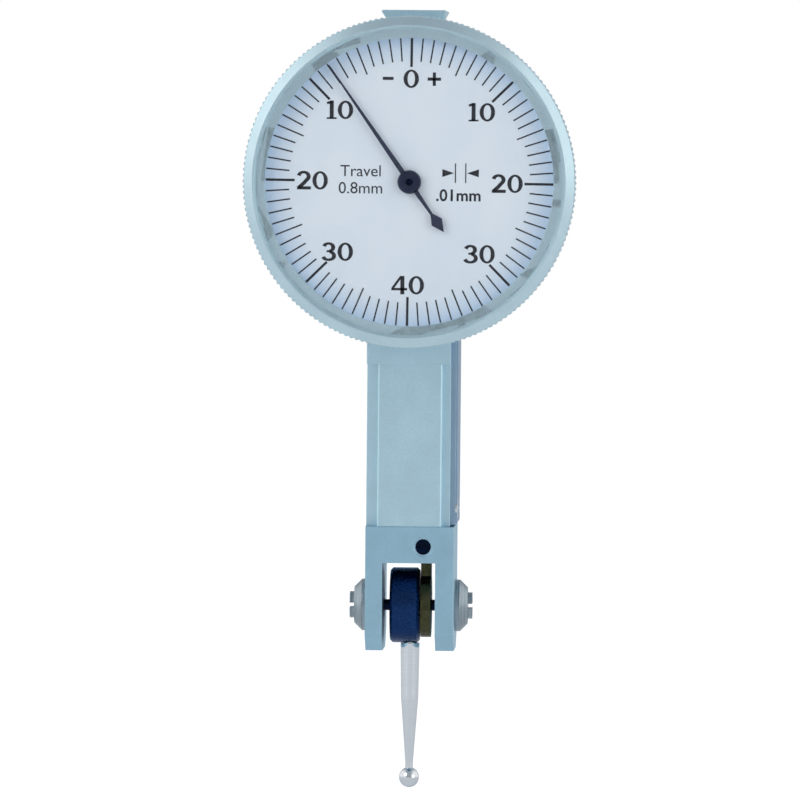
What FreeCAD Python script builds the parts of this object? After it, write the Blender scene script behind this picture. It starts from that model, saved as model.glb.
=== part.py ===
import FreeCAD, Part
import math
import os
import re
import Sketcher

# Dial test indicator, in millimetres. The origin is the middle of the back dovetail's flat face.
# +Z runs up the body to the dial, the dial faces -Y, and +X is to the right of the dial.

SIZES = {
    # body bar and its three dovetails
    "bar_left": 4.25,
    "bar_right": 3.95,
    "bar_depth": 12.1,
    "dovetail_half_face": 3.15,
    "dovetail_height": 1.3,
    "dovetail_undercut": 0.75,
    "dovetail_corner": 0.12,
    "dovetail_length": 15.9,
    "front_block_rise": 0.2,
    "dial_height": 25.8,
    "bar_end_height": 15.45,
    "case_seat_depth": 11.4,
    # fork and pivot
    "pivot_drop": 15.9,
    "fork_right": 4.4,
    "ear_below_pivot": 4.3,
    "slot_left": 2.58,
    "slot_right": 2.6,
    "slot_rise": 4.4,
    "ear_bevel_height": 1.7,
    "ear_bevel_depth": 2.6,
    "lever_passage_half": 2.7,
    "axle_radius": 0.55,
    "axle_reach": 1.3,
    "bearing_gap": 0.05,
    "bearing_ring_radius": 1.0,
    "bearing_ring_width": 0.7,
    "bearing_ring_inset": 0.1,
    "bearing_thread_radius": 1.5,
    "bearing_thread_inset": 0.15,
    "bearing_cavity": 1.35,
    "bearing_head_radius": 2.55,
    "bearing_head_height": 1.25,
    "bearing_cone_width": 0.75,
    "bearing_cone_height": 0.75,
    "bearing_boss_radius": 1.3,
    "bearing_boss_height": 0.45,
    "bearing_slot_width": 0.45,
    "seat_gap": 0.02,
    # pivot block, stylus and ball
    "block_left": 1.95,
    "block_right": 0.95,
    "block_radius": 3.7,
    "block_chamfer": 0.25,
    "stylus_length": 16.98,
    "stud_radius": 0.6,
    "stud_length": 1.8,
    "shank_root_radius": 0.94,
    "shank_middle_radius": 0.86,
    "shank_middle_drop": 9.1,
    "shank_tip_radius": 0.38,
    "shank_tip_drop": 15.6,
    "ball_radius": 1.0,
    "ball_hole_depth": 0.5,
    # lever
    "lever_near": 1.05,
    "lever_thickness": 1.0,
    "lever_boss_radius": 3.15,
    "lever_root_half": 1.3,
    "lever_tip_half": 0.9,
    "lever_tooth_count": 7,
    "lever_rim": 1.3,
    "lever_flare": 2.2,
    "lever_side_gap": 0.3,
    "lever_swing": 2.7,
    # gear train
    "sector_full_teeth": 400,
    "crown_pinion_teeth": 16,
    "crown_teeth": 64,
    "centre_pinion_teeth": 12,
    "crown_radius": 4.5,
    "crown_face": 0.4,
    "crown_web": 0.35,
    "crown_rim_depth": 0.4,
    "crown_hub_radius": 1.0,
    "crown_hub_length": 0.6,
    "crown_window_radius": 0.95,
    "crown_window_orbit": 2.6,
    "crown_window_count": 5,
    "tooth_backlash": 0.02,
    "pressure_angle": 20,
    "tooth_root_factor": 1.25,
    "crown_tip_factor": 0.7,
    "sector_tip_factor": 0.85,
    "leaf_tip_factor": 1.0,
    "leaf_root_factor": 1.1,
    "leaf_root_lap": 0.05,
    "pinion_margin": 0.15,
    "shaft_radius": 0.4,
    "shaft_pivot_radius": 0.2,
    "shaft_pivot_length": 0.35,
    "jewel_radius": 0.55,
    "jewel_thickness": 0.4,
    "jewel_gap": 0.03,
    "end_shake": 0.08,
    # chambers in the bar
    "chamber_left": 2.9,
    "crown_chamber_gap": 0.25,
    "lever_channel_half": 3.0,
    "spindle_port_radius": 3.3,
    # crown cock
    "cock_thickness": 0.8,
    "cock_half_width": 1.5,
    "cock_nose_half": 0.77,
    "cock_length": 9.4,
    "cock_gap": 0.03,
    "cock_screw_pitch": 2.2,
    # side cover
    "cover_thickness": 0.7,
    "cover_front_inset": 0.25,
    "cover_back_inset": 0.3,
    "cover_end_gap": 0.15,
    "cover_top": 13.2,
    "cover_edge": 0.2,
    "cover_lap": 0.35,
    "cover_screw_side": 3.55,
    "cover_screw_inset": 1.6,
    # movement case
    "case_step": 0.85,
    "case_floor": 1.8,
    "case_edge": 0.5,
    "rim_wall": 1.15,
    "rim_length": 4.8,
    "plate_ledge": 0.7,
    "plate_seat_drop": 0.4,
    "plate_thickness": 0.8,
    "plate_gap": 0.05,
    "plate_window_radius": 2.6,
    "plate_window_orbit": 8.2,
    "plate_post_radius": 1.5,
    "plate_post_inset": 1.4,
    "plate_post_count": 3,
    "plate_post_start": 90,
    "plate_window_start": 30,
    "case_screw_side": 2.6,
    "case_screw_rise": 8.5,
    "wire_half": 0.3,
    "wire_drop": 1.6,
    "wire_stand_out": 0.2,
    "wire_gap": 0.05,
    "wire_arc": 325,
    # bezel, dial and crystal
    "bezel_radius": 16.15,
    "bezel_shell": 1.6,
    "bezel_gap": 0.1,
    "bezel_case_gap": 0.4,
    "skirt_step": 0.55,
    "skirt_length": 1.9,
    "rim_gap": 0.15,
    "dial_gap": 0.05,
    "dial_thickness": 0.4,
    "dial_hole_radius": 0.75,
    "lip_width": 0.65,
    "lip_height": 1.0,
    "crystal_gap": 0.2,
    "crystal_thickness": 1.0,
    "crystal_bevel": 0.35,
    "bezel_wall": 1.1,
    "bezel_nose": 0.1,
    "bezel_bevel_width": 0.95,
    "bezel_bevel_height": 0.75,
    "knurl_count": 180,
    "knurl_depth": 0.16,
    "snap_ring_width": 0.75,
    "snap_ring_height": 0.3,
    "snap_ring_bite": 0.2,
    "snap_ring_arc": 335,
    # pointer and spindle
    "spindle_radius": 0.35,
    "spindle_pivot_radius": 0.18,
    "front_jewel_radius": 0.85,
    "pointer_lift": 0.4,
    "pointer_thickness": 0.15,
    "pointer_tip_gap": 0.25,
    "pointer_tail": 5.9,
    "pointer_root_half": 0.26,
    "pointer_tip_half": 0.06,
    "tail_half": 0.13,
    "spear_half": 0.6,
    "spear_length": 2.1,
    "spear_shoulder": 0.9,
    "hub_radius": 1.15,
    "hub_height": 0.25,
    "hub_sleeve_radius": 0.55,
    "hub_collar_height": 0.15,
    "spindle_stand_out": 0.07,
    "pointer_angle": 35.1,
    "collet_radius": 0.8,
    "collet_height": 0.6,
    "hairspring_level": 1.85,
    "hairspring_turns": 5,
    "hairspring_radius": 4.4,
    "hairspring_strip": 0.1,
    "hairspring_height": 0.3,
    "hairspring_stud_radius": 0.35,
    # pinion bridge
    "foot_gap": 0.5,
    "foot_thickness": 0.7,
    "foot_left": 0.9,
    "foot_drop": 1.2,
    "foot_hole_radius": 0.3,
    "post_left": 0.3,
    "post_right": 1.4,
    "post_near": 1.35,
    "post_far": 2.7,
    "flange_thickness": 0.7,
    "flange_half": 3.4,
    "flange_top": 5.7,
    "flange_screw_side": 2.4,
    "flange_screw_rise": 4.5,
    # small screws and pins
    "small_head_radius": 0.85,
    "small_head_height": 0.45,
    "small_shank_radius": 0.5,
    "small_shank_length": 1.1,
    "case_screw_length": 3.0,
    "plate_screw_length": 2.2,
    "small_slot_width": 0.22,
    "small_slot_depth": 0.22,
    "stop_screw_radius": 0.75,
    "stop_screw_across": 1.4,
    "stop_screw_rise": 6.0,
    "stop_screw_recess": 0.35,
    "stop_screw_rim": 0.2,
    "stop_pin_radius": 0.4,
    "stop_pin_bite": 0.8,
    "stop_gap": 0.03,
}

# Places worked out from the sizes: heights along Z, depths along Y and distances along X.
PLACES = {
    "pivot_z": "-pivot_drop",
    "pivot_y": "-bar_depth / 2",
    "pivot_reach": "dial_height + pivot_drop",
    "land_front": "-bar_depth + dovetail_height",
    "fork_top": "-dovetail_length / 2",
    "fork_bottom": "pivot_z - ear_below_pivot",
    "slot_top": "pivot_z + slot_rise",
    "block_front": "-bar_depth - front_block_rise",
    "band_top": "dial_height - bar_end_height",
    "bar_end": "dial_height + bar_end_height",
    "case_back": "-case_seat_depth",
    "case_inside": "case_back - case_floor",
    "rim_front": "case_inside - rim_length",
    "plate_front": "rim_front + plate_seat_drop",
    "plate_back": "plate_front + plate_thickness",
    "wire_y": "case_inside - wire_drop",
    "wire_orbit": "rim_radius + wire_stand_out - wire_half",
    "case_radius": "bezel_radius - case_step",
    "rim_radius": "bezel_radius - bezel_shell",
    "plate_radius": "rim_radius - rim_wall - plate_gap",
    "case_inner_radius": "rim_radius - rim_wall - plate_ledge",
    "plate_post_orbit": "case_inner_radius - plate_post_inset",
    "bezel_bore": "rim_radius + bezel_gap",
    "bezel_mouth": "bezel_radius - bezel_wall",
    "skirt_radius": "bezel_radius - skirt_step",
    "lip_radius": "bezel_bore - lip_width",
    "dial_radius": "bezel_bore - dial_gap",
    "crystal_radius": "bezel_mouth - crystal_gap",
    "pointer_reach": "lip_radius - pointer_tip_gap",
    "bezel_back": "case_inside - bezel_case_gap",
    "snap_back": "rim_front - rim_gap",
    "dial_back": "snap_back - snap_ring_height",
    "dial_front": "dial_back - dial_thickness",
    "lip_front": "dial_front - lip_height",
    "crystal_front": "lip_front - crystal_thickness",
    "bezel_front": "crystal_front - bezel_nose",
    "pointer_back": "dial_front - pointer_lift",
    "pointer_front": "pointer_back - pointer_thickness",
    "hub_front": "pointer_front - hub_height",
    "crown_module": "2 * crown_radius / crown_teeth",
    "centre_pitch": "crown_module * centre_pinion_teeth / 2",
    "lever_module": "2 * pivot_reach / (sector_full_teeth + crown_pinion_teeth)",
    "sector_pitch": "lever_module * sector_full_teeth / 2",
    "crown_pinion_pitch": "lever_module * crown_pinion_teeth / 2",
    "crown_outer": "crown_radius + crown_face / 2",
    "crown_inner": "crown_radius - crown_face / 2",
    "crown_root_x": "-centre_pitch - tooth_root_factor * crown_module",
    "crown_back_x": "crown_root_x - crown_rim_depth - crown_web",
    "crown_chamber": "crown_outer + crown_chamber_gap",
    "lever_far": "lever_near + lever_thickness",
    "mesh_y": "pivot_y - crown_radius",
    "pinion_back": "mesh_y + crown_face / 2 + pinion_margin",
    "pinion_front": "mesh_y - crown_face / 2 - pinion_margin",
    "foot_front": "pinion_back + foot_gap",
    "foot_back": "foot_front + foot_thickness",
    "cock_far": "bar_right - cock_gap",
    "cock_near": "cock_far - cock_thickness",
    "cock_screw_seat": "cock_far - small_head_height",
    "cover_far": "bar_right + cover_thickness",
    "cover_screw_seat": "cover_far - small_head_height",
    "hairspring_y": "case_inside - hairspring_level",
    "stop_z": "pivot_z + stop_screw_rise",
    "arm_edge": "lever_root_half + stop_screw_rise * tan(lever_swing / 2)",
    "stop_pin_y": "pivot_y + arm_edge + stop_gap + stop_pin_radius",
    "stop_tip_y": "pivot_y - arm_edge - stop_gap",
}

doc = FreeCAD.newDocument("dial_test_indicator")
dims = doc.addObject("Spreadsheet::Sheet", "Dims")
for row, (alias, size) in enumerate(SIZES.items(), start=1):
    dims.set(f"A{row}", alias)
    dims.set(f"B{row}", repr(size))
    dims.setAlias(f"B{row}", alias)
doc.recompute()

AXES_INDEX = -1
START_INDEX = 1
END_INDEX = 2
CENTRE_INDEX = 3
FLANK_COUNT = 3
SPRING_COUNT = 20
HEAD_RIGHT = FreeCAD.Rotation(FreeCAD.Vector(0, 1, 0), 90)
HEAD_FRONT = FreeCAD.Rotation(FreeCAD.Vector(1, 0, 0), 90)
nodes = []


def bind(text):
    """Spell an expression over sizes and places out as references to the sheet's cells."""
    def reference(match):
        name = match.group()
        if name in PLACES:
            return f"({bind(PLACES[name])})"
        return f"Dims.{name}" if name in SIZES else name
    return re.sub(r"[a-z][a-z0-9_]*", reference, str(text))


def value(text):
    """Give the number, in millimetres or degrees, that an expression stands for."""
    return float(dims.evalExpression(bind(text)))


def place(thing, across="0", along="0", up="0", turn=None):
    """Set an object's position from three expressions, with an optional turn."""
    if turn is not None:
        thing.Placement = FreeCAD.Placement(FreeCAD.Vector(), turn)
    thing.setExpression("Placement.Base.x", bind(across))
    thing.setExpression("Placement.Base.y", bind(along))
    thing.setExpression("Placement.Base.z", bind(up))


def keep(thing, label):
    """List a finished object as a node under its own name."""
    thing.Label = label
    nodes.append(thing)
    return thing


def new_body(label, is_node=True):
    """Start a PartDesign body, and list it as a node unless it only helps to make one."""
    body = doc.addObject("PartDesign::Body", label)
    body.Label = label
    if is_node:
        nodes.append(body)
    return body


def sketch_on(body, plane, offset="0"):
    """Make a sketch on one of the body's origin planes, moved along the plane's normal."""
    sketch = body.newObject("Sketcher::SketchObject", f"{body.Name}_outline")
    origin_plane = next(part for part in body.Origin.OriginFeatures if part.Role == plane)
    sketch.AttachmentSupport = [(origin_plane, "")]
    sketch.MapMode = "FlatFace"
    sketch.setExpression("AttachmentOffset.Base.z", bind(offset))
    return sketch


def fix_point(sketch, curve, point, across, up):
    """Tie one point of a sketch curve to two expressions."""
    for kind, text in (("DistanceX", across), ("DistanceY", up)):
        rule = Sketcher.Constraint(kind, AXES_INDEX, START_INDEX, curve, point, value(text))
        sketch.setExpression(f"Constraints[{sketch.addConstraint(rule)}]", bind(text))


def draw_loop(sketch, corners):
    """Draw a closed outline of straight lines through corners given as expressions."""
    points = [FreeCAD.Vector(value(across), value(up), 0) for across, up in corners]
    first = sketch.GeometryCount
    count = len(points)
    for index in range(count):
        sketch.addGeometry(Part.LineSegment(points[index], points[(index + 1) % count]), False)
    for index in range(count):
        following = first + (index + 1) % count
        rule = Sketcher.Constraint("Coincident", first + index, END_INDEX, following, START_INDEX)
        sketch.addConstraint(rule)
    for index, (across, up) in enumerate(corners):
        fix_point(sketch, first + index, START_INDEX, across, up)


def draw_box(sketch, low_across, high_across, low_up, high_up):
    """Draw an upright rectangle."""
    lower = [(low_across, low_up), (high_across, low_up)]
    upper = [(high_across, high_up), (low_across, high_up)]
    draw_loop(sketch, lower + upper)


def draw_circle(sketch, across, up, radius):
    """Draw a circle whose centre and radius are expressions."""
    centre = FreeCAD.Vector(value(across), value(up), 0)
    curve = sketch.addGeometry(Part.Circle(centre, FreeCAD.Vector(0, 0, 1), value(radius)), False)
    index = sketch.addConstraint(Sketcher.Constraint("Radius", curve, value(radius)))
    sketch.setExpression(f"Constraints[{index}]", bind(radius))
    fix_point(sketch, curve, CENTRE_INDEX, across, up)


def pad(body, sketch, length):
    """Raise a sketch along its plane's normal."""
    feature = body.newObject("PartDesign::Pad", f"{body.Name}_pad")
    feature.Profile = sketch
    feature.setExpression("Length", bind(length))
    doc.recompute()
    return feature


def cut(body, sketch, length):
    """Cut a sketch away along its plane's normal, and make sure that it removed something."""
    before = body.Shape.Volume
    feature = body.newObject("PartDesign::Pocket", f"{body.Name}_pocket")
    feature.Profile = sketch
    feature.Reversed = True
    feature.setExpression("Length", bind(length))
    doc.recompute()
    if not body.Shape.Volume < before:
        raise RuntimeError(f"{feature.Name} cuts nothing")
    return feature


def repeat_round(body, features, axis, count, angle="360"):
    """Repeat features of a body round one of its own axes."""
    pattern = body.newObject("PartDesign::PolarPattern", f"{body.Name}_pattern")
    pattern.Originals = features
    origin_axis = next(part for part in body.Origin.OriginFeatures if part.Role == axis)
    pattern.Axis = (origin_axis, [""])
    pattern.setExpression("Angle", bind(angle))
    pattern.setExpression("Occurrences", bind(count))
    body.Tip = pattern
    doc.recompute()
    return pattern


def turned(label, axis, corners, across="0", along="0", up="0", is_node=True, sweep="360"):
    """Turn an outline about X, Y or Z. Corners are (distance along the axis, radius)."""
    body = new_body(label, is_node)
    sketch = sketch_on(body, "XZ_Plane" if axis == "Z" else "XY_Plane")
    if axis != "X":
        corners = [(radius, distance) for distance, radius in corners]
    draw_loop(sketch, corners)
    turning = body.newObject("PartDesign::Revolution", f"{body.Name}_turning")
    turning.Profile = sketch
    turning.ReferenceAxis = (sketch, ["H_Axis" if axis == "X" else "V_Axis"])
    turning.setExpression("Angle", bind(sweep))
    place(body, across, along, up)
    doc.recompute()
    return body


def ring(label, axis, start, end, inner, outer, across="0", along="0", up="0", sweep="360"):
    """Turn a plain ring that runs from one distance to another."""
    corners = [(start, inner), (end, inner), (end, outer), (start, outer)]
    return turned(label, axis, corners, across, along, up, sweep=sweep)


def screws(label, spots, turn, length="small_shank_length"):
    """Make one node of like slotted screws. The head stands on the spot, along local Z."""
    copies = []
    for index, (across, along, up) in enumerate(spots, start=1):
        corners = [
            (f"-{length}", "0"),
            (f"-{length}", "small_shank_radius - seat_gap"),
            ("0", "small_shank_radius - seat_gap"),
            ("0", "small_head_radius"),
            ("small_head_height", "small_head_radius"),
            ("small_head_height", "0"),
        ]
        body = turned(f"{label}_{index}", "Z", corners, is_node=False)
        slot = sketch_on(body, "XY_Plane", "small_head_height - small_slot_depth")
        half_slot = "small_slot_width / 2"
        draw_box(slot, "-small_head_radius", "small_head_radius", f"-{half_slot}", half_slot)
        cut(body, slot, "small_slot_depth")
        place(body, across, along, up, turn)
        copies.append(body)
    group = doc.addObject("Part::Compound", label)
    group.Links = copies
    doc.recompute()
    return keep(group, label)


def cover_screw_spots():
    """Give the side cover's screw places, as (along, up)."""
    low = "fork_top + cover_end_gap + cover_screw_inset"
    high = "dial_height + cover_top - cover_screw_inset"
    sides = ("pivot_y - cover_screw_side", "pivot_y + cover_screw_side")
    return [(side, height) for height in (low, high) for side in sides]


def cock_screw_spots():
    """Give the crown cock's screw places, as (along, up)."""
    outer = "dial_height + cock_length - small_head_radius - cock_gap"
    return [("pivot_y", outer), ("pivot_y", f"{outer} - cock_screw_pitch")]


def case_screw_spots():
    """Give the places of the screws that hold the case to the bar, as (across, up) from the dial."""
    sides = ("-case_screw_side", "case_screw_side")
    heights = ("-case_screw_rise", "case_screw_rise")
    return [(side, height) for height in heights for side in sides]


def bridge_screw_spots():
    """Give the pinion bridge's screw places, as (across, up) from the dial's axis."""
    return [("-flange_screw_side", "flange_screw_rise"), ("flange_screw_side", "flange_screw_rise")]


def round_spots(orbit, count, start):
    """Give evenly spaced places on a circle, as (across, up), for a whole number of them."""
    spots = []
    for index in range(int(value(count))):
        angle = f"({start} + {index} * 360 / {count})"
        spots.append((f"{orbit} * cos{angle}", f"{orbit} * sin{angle}"))
    return spots


def from_dial(text):
    """Turn a height above the dial's axis into one above the origin."""
    return f"dial_height + {text}"


def make_body_bar():
    """Mill the bar: dovetails front, back and on the end, with chambers for the movement."""
    body = new_body("body_bar")
    dovetailed = sketch_on(body, "XY_Plane", "fork_top")
    neck = "dovetail_half_face - dovetail_undercut"
    draw_loop(dovetailed, [
        ("-dovetail_half_face + dovetail_corner", "0"),
        ("-dovetail_half_face", "-dovetail_corner"),
        (f"-({neck})", "-dovetail_height"),
        ("-bar_left", "-dovetail_height"),
        ("-bar_left", "land_front"),
        (f"-({neck})", "land_front"),
        ("-dovetail_half_face", "-bar_depth + dovetail_corner"),
        ("-dovetail_half_face + dovetail_corner", "-bar_depth"),
        ("dovetail_half_face - dovetail_corner", "-bar_depth"),
        ("dovetail_half_face", "-bar_depth + dovetail_corner"),
        (neck, "land_front"),
        ("bar_right", "land_front"),
        ("bar_right", "-dovetail_height"),
        (neck, "-dovetail_height"),
        ("dovetail_half_face", "-dovetail_corner"),
        ("dovetail_half_face - dovetail_corner", "0"),
    ])
    pad(body, dovetailed, "dovetail_length")
    upper = sketch_on(body, "YZ_Plane", "-bar_left")
    draw_loop(upper, [
        ("0", "-fork_top"),
        ("block_front", "-fork_top"),
        ("block_front", "band_top"),
        ("case_back", "band_top"),
        ("case_back", "bar_end"),
        ("0", "bar_end"),
    ])
    pad(body, upper, "bar_left + bar_right")
    end = sketch_on(body, "XZ_Plane")
    draw_loop(end, [
        (f"-({neck})", "bar_end"),
        (neck, "bar_end"),
        ("dovetail_half_face", "bar_end + dovetail_height - dovetail_corner"),
        ("dovetail_half_face - dovetail_corner", "bar_end + dovetail_height"),
        ("-dovetail_half_face + dovetail_corner", "bar_end + dovetail_height"),
        ("-dovetail_half_face", "bar_end + dovetail_height - dovetail_corner"),
    ])
    pad(body, end, "case_seat_depth")
    crown_chamber = sketch_on(body, "YZ_Plane", "-chamber_left")
    draw_circle(crown_chamber, "pivot_y", "dial_height", "crown_chamber")
    cut(body, crown_chamber, "chamber_left + bar_right")
    channel = sketch_on(body, "YZ_Plane", "lever_near - lever_side_gap")
    draw_box(channel, "pivot_y - lever_channel_half", "pivot_y + lever_channel_half",
             "fork_top", "dial_height")
    cut(body, channel, "bar_right - lever_near + lever_side_gap")
    cock_bed = sketch_on(body, "YZ_Plane", "cock_near")
    cock_side = "cock_half_width + cock_gap"
    draw_box(cock_bed, f"pivot_y - ({cock_side})", f"pivot_y + {cock_side}",
             "dial_height", "dial_height + cock_length + cock_gap")
    cut(body, cock_bed, "bar_right - cock_near")
    port = sketch_on(body, "XZ_Plane", "-pivot_y")
    draw_circle(port, "0", "dial_height", "spindle_port_radius")
    cut(body, port, "case_seat_depth + pivot_y")
    jewel_seat = sketch_on(body, "YZ_Plane", "-chamber_left - jewel_thickness - end_shake")
    draw_circle(jewel_seat, "pivot_y", "dial_height", "jewel_radius + seat_gap")
    cut(body, jewel_seat, "jewel_thickness + end_shake")
    cover_holes = sketch_on(body, "YZ_Plane", "cover_screw_seat - small_shank_length - seat_gap")
    for along, up in cover_screw_spots():
        draw_circle(cover_holes, along, up, "small_shank_radius")
    cut(body, cover_holes, "bar_right - cover_screw_seat + small_shank_length + seat_gap")
    cock_holes = sketch_on(body, "YZ_Plane", "cock_screw_seat - small_shank_length - seat_gap")
    for along, up in cock_screw_spots():
        draw_circle(cock_holes, along, up, "small_shank_radius")
    cut(body, cock_holes, "cock_near - cock_screw_seat + small_shank_length + seat_gap")
    bite = "case_screw_length + small_head_height + seat_gap - case_floor"
    case_holes = sketch_on(body, "XZ_Plane", f"-case_back - ({bite})")
    for across, up in case_screw_spots():
        draw_circle(case_holes, across, from_dial(up), "small_shank_radius")
    cut(body, case_holes, bite)


def make_fork():
    """Mill the fork: two ears with bevelled feet, the lever's passage and the cross bores."""
    body = new_body("fork")
    side = sketch_on(body, "YZ_Plane", "-bar_left")
    draw_loop(side, [
        ("0", "fork_top"),
        ("0", "fork_bottom + ear_bevel_height"),
        ("-ear_bevel_depth", "fork_bottom"),
        ("block_front + ear_bevel_depth", "fork_bottom"),
        ("block_front", "fork_bottom + ear_bevel_height"),
        ("block_front", "fork_top"),
    ])
    pad(body, side, "bar_left + fork_right")
    slot = sketch_on(body, "XZ_Plane")
    draw_box(slot, "-slot_left", "slot_right", "fork_bottom", "slot_top")
    cut(body, slot, "-block_front")
    passage = sketch_on(body, "YZ_Plane", "lever_near - lever_side_gap")
    draw_box(passage, "pivot_y - lever_passage_half", "pivot_y + lever_passage_half", "slot_top", "fork_top")
    cut(body, passage, "lever_thickness + 2 * lever_side_gap")
    bores = sketch_on(body, "YZ_Plane", "-bar_left")
    draw_circle(bores, "pivot_y", "pivot_z", "bearing_thread_radius + seat_gap")
    cut(body, bores, "bar_left + fork_right")
    stop_bore = sketch_on(body, "XZ_Plane", "-stop_tip_y")
    draw_circle(stop_bore, "stop_screw_across", "stop_z", "stop_screw_radius + seat_gap")
    cut(body, stop_bore, "stop_tip_y - block_front")
    stop_mouth = sketch_on(body, "XZ_Plane", "-block_front - stop_screw_rim / 2")
    draw_circle(stop_mouth, "stop_screw_across", "stop_z", "stop_screw_radius + stop_screw_rim")
    cut(body, stop_mouth, "stop_screw_rim / 2")
    pin_bore = sketch_on(body, "YZ_Plane", "lever_near - lever_side_gap - stop_pin_bite - seat_gap")
    draw_circle(pin_bore, "stop_pin_y", "stop_z", "stop_pin_radius + seat_gap")
    cut(body, pin_bore, "lever_thickness + 2 * (lever_side_gap + stop_pin_bite + seat_gap)")


def make_side_cover():
    """Cut the plate that closes the open side of the bar, with countersunk screw holes."""
    body = new_body("side_cover")
    plate = sketch_on(body, "YZ_Plane", "bar_right")
    low = "fork_top + cover_end_gap"
    high = "dial_height + cover_top"
    front = "land_front + cover_front_inset"
    back = "-dovetail_height - cover_back_inset"
    draw_box(plate, front, back, low, high)
    pad(body, plate, "cover_thickness - cover_edge")
    bulge = sketch_on(body, "YZ_Plane", "bar_right")
    draw_circle(bulge, "pivot_y", "dial_height", "crown_chamber + cover_lap")
    pad(body, bulge, "cover_thickness - cover_edge")
    face = sketch_on(body, "YZ_Plane", "cover_far - cover_edge")
    edge = "cover_edge"
    draw_box(face, f"{front} + {edge}", f"{back} - {edge}", f"{low} + {edge}", f"{high} - {edge}")
    pad(body, face, "cover_edge")
    bulge_face = sketch_on(body, "YZ_Plane", "cover_far - cover_edge")
    draw_circle(bulge_face, "pivot_y", "dial_height", "crown_chamber + cover_lap - cover_edge")
    pad(body, bulge_face, "cover_edge")
    heads = sketch_on(body, "YZ_Plane", "cover_screw_seat")
    for along, up in cover_screw_spots():
        draw_circle(heads, along, up, "small_head_radius + seat_gap")
    cut(body, heads, "small_head_height")
    holes = sketch_on(body, "YZ_Plane", "bar_right")
    for along, up in cover_screw_spots():
        draw_circle(holes, along, up, "small_shank_radius")
    cut(body, holes, "cover_thickness - small_head_height")
    spots = [("cover_screw_seat", along, up) for along, up in cover_screw_spots()]
    screws("side_cover_screws", spots, HEAD_RIGHT)


def make_movement_case():
    """Turn the round case that stands on the bar, with posts for the movement plate."""
    body = turned("movement_case", "Y", [
        ("case_back", "spindle_port_radius"),
        ("case_back", "case_radius - case_edge"),
        ("case_back - case_edge", "case_radius"),
        ("case_inside", "case_radius"),
        ("case_inside", "rim_radius"),
        ("wire_y + wire_half + wire_gap", "rim_radius"),
        ("wire_y + wire_half + wire_gap", "wire_orbit - wire_half - wire_gap"),
        ("wire_y - wire_half - wire_gap", "wire_orbit - wire_half - wire_gap"),
        ("wire_y - wire_half - wire_gap", "rim_radius"),
        ("rim_front", "rim_radius"),
        ("rim_front", "plate_radius + plate_gap"),
        ("plate_back", "plate_radius + plate_gap"),
        ("plate_back", "case_inner_radius"),
        ("case_inside", "case_inner_radius"),
        ("case_inside", "spindle_port_radius"),
    ], up="dial_height")
    posts = sketch_on(body, "XZ_Plane", "-case_inside")
    for across, up in round_spots("plate_post_orbit", "plate_post_count", "plate_post_start"):
        draw_circle(posts, across, up, "plate_post_radius")
    pad(body, posts, "case_inside - plate_back")
    bite = "plate_screw_length - plate_thickness + seat_gap"
    taps = sketch_on(body, "XZ_Plane", f"-plate_back - ({bite})")
    for across, up in round_spots("plate_post_orbit", "plate_post_count", "plate_post_start"):
        draw_circle(taps, across, up, "small_shank_radius")
    cut(body, taps, bite)
    holes = sketch_on(body, "XZ_Plane", "-case_back")
    for across, up in case_screw_spots() + bridge_screw_spots():
        draw_circle(holes, across, up, "small_shank_radius")
    cut(body, holes, "case_floor")
    seats = sketch_on(body, "XZ_Plane", "-case_inside - small_head_height")
    for across, up in case_screw_spots():
        draw_circle(seats, across, up, "small_head_radius + seat_gap")
    cut(body, seats, "small_head_height")
    spots = [(across, "case_inside + small_head_height", from_dial(up)) for across, up in case_screw_spots()]
    screws("case_screws", spots, HEAD_FRONT, "case_screw_length")


def make_movement_plate():
    """Turn the plate under the dial that carries the spindle's front jewel."""
    body = turned("movement_plate", "Y", [
        ("plate_front", "front_jewel_radius + seat_gap"),
        ("plate_back", "front_jewel_radius + seat_gap"),
        ("plate_back", "plate_radius"),
        ("plate_front", "plate_radius"),
    ], up="dial_height")
    windows = sketch_on(body, "XZ_Plane", "-plate_back")
    for across, up in round_spots("plate_window_orbit", "plate_post_count", "plate_window_start"):
        draw_circle(windows, across, up, "plate_window_radius")
    cut(body, windows, "plate_thickness")
    holes = sketch_on(body, "XZ_Plane", "-plate_back")
    for across, up in round_spots("plate_post_orbit", "plate_post_count", "plate_post_start"):
        draw_circle(holes, across, up, "small_shank_radius")
    draw_circle(holes, "hairspring_radius + hairspring_stud_radius + seat_gap", "0",
                "hairspring_stud_radius + seat_gap")
    cut(body, holes, "plate_thickness")
    post_spots = round_spots("plate_post_orbit", "plate_post_count", "plate_post_start")
    spots = [(across, "plate_front", from_dial(up)) for across, up in post_spots]
    screws("movement_plate_screws", spots, HEAD_FRONT, "plate_screw_length")
    ring("front_jewel", "Y", "plate_front", "plate_back", "spindle_radius + jewel_gap",
         "front_jewel_radius", up="dial_height")


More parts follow.
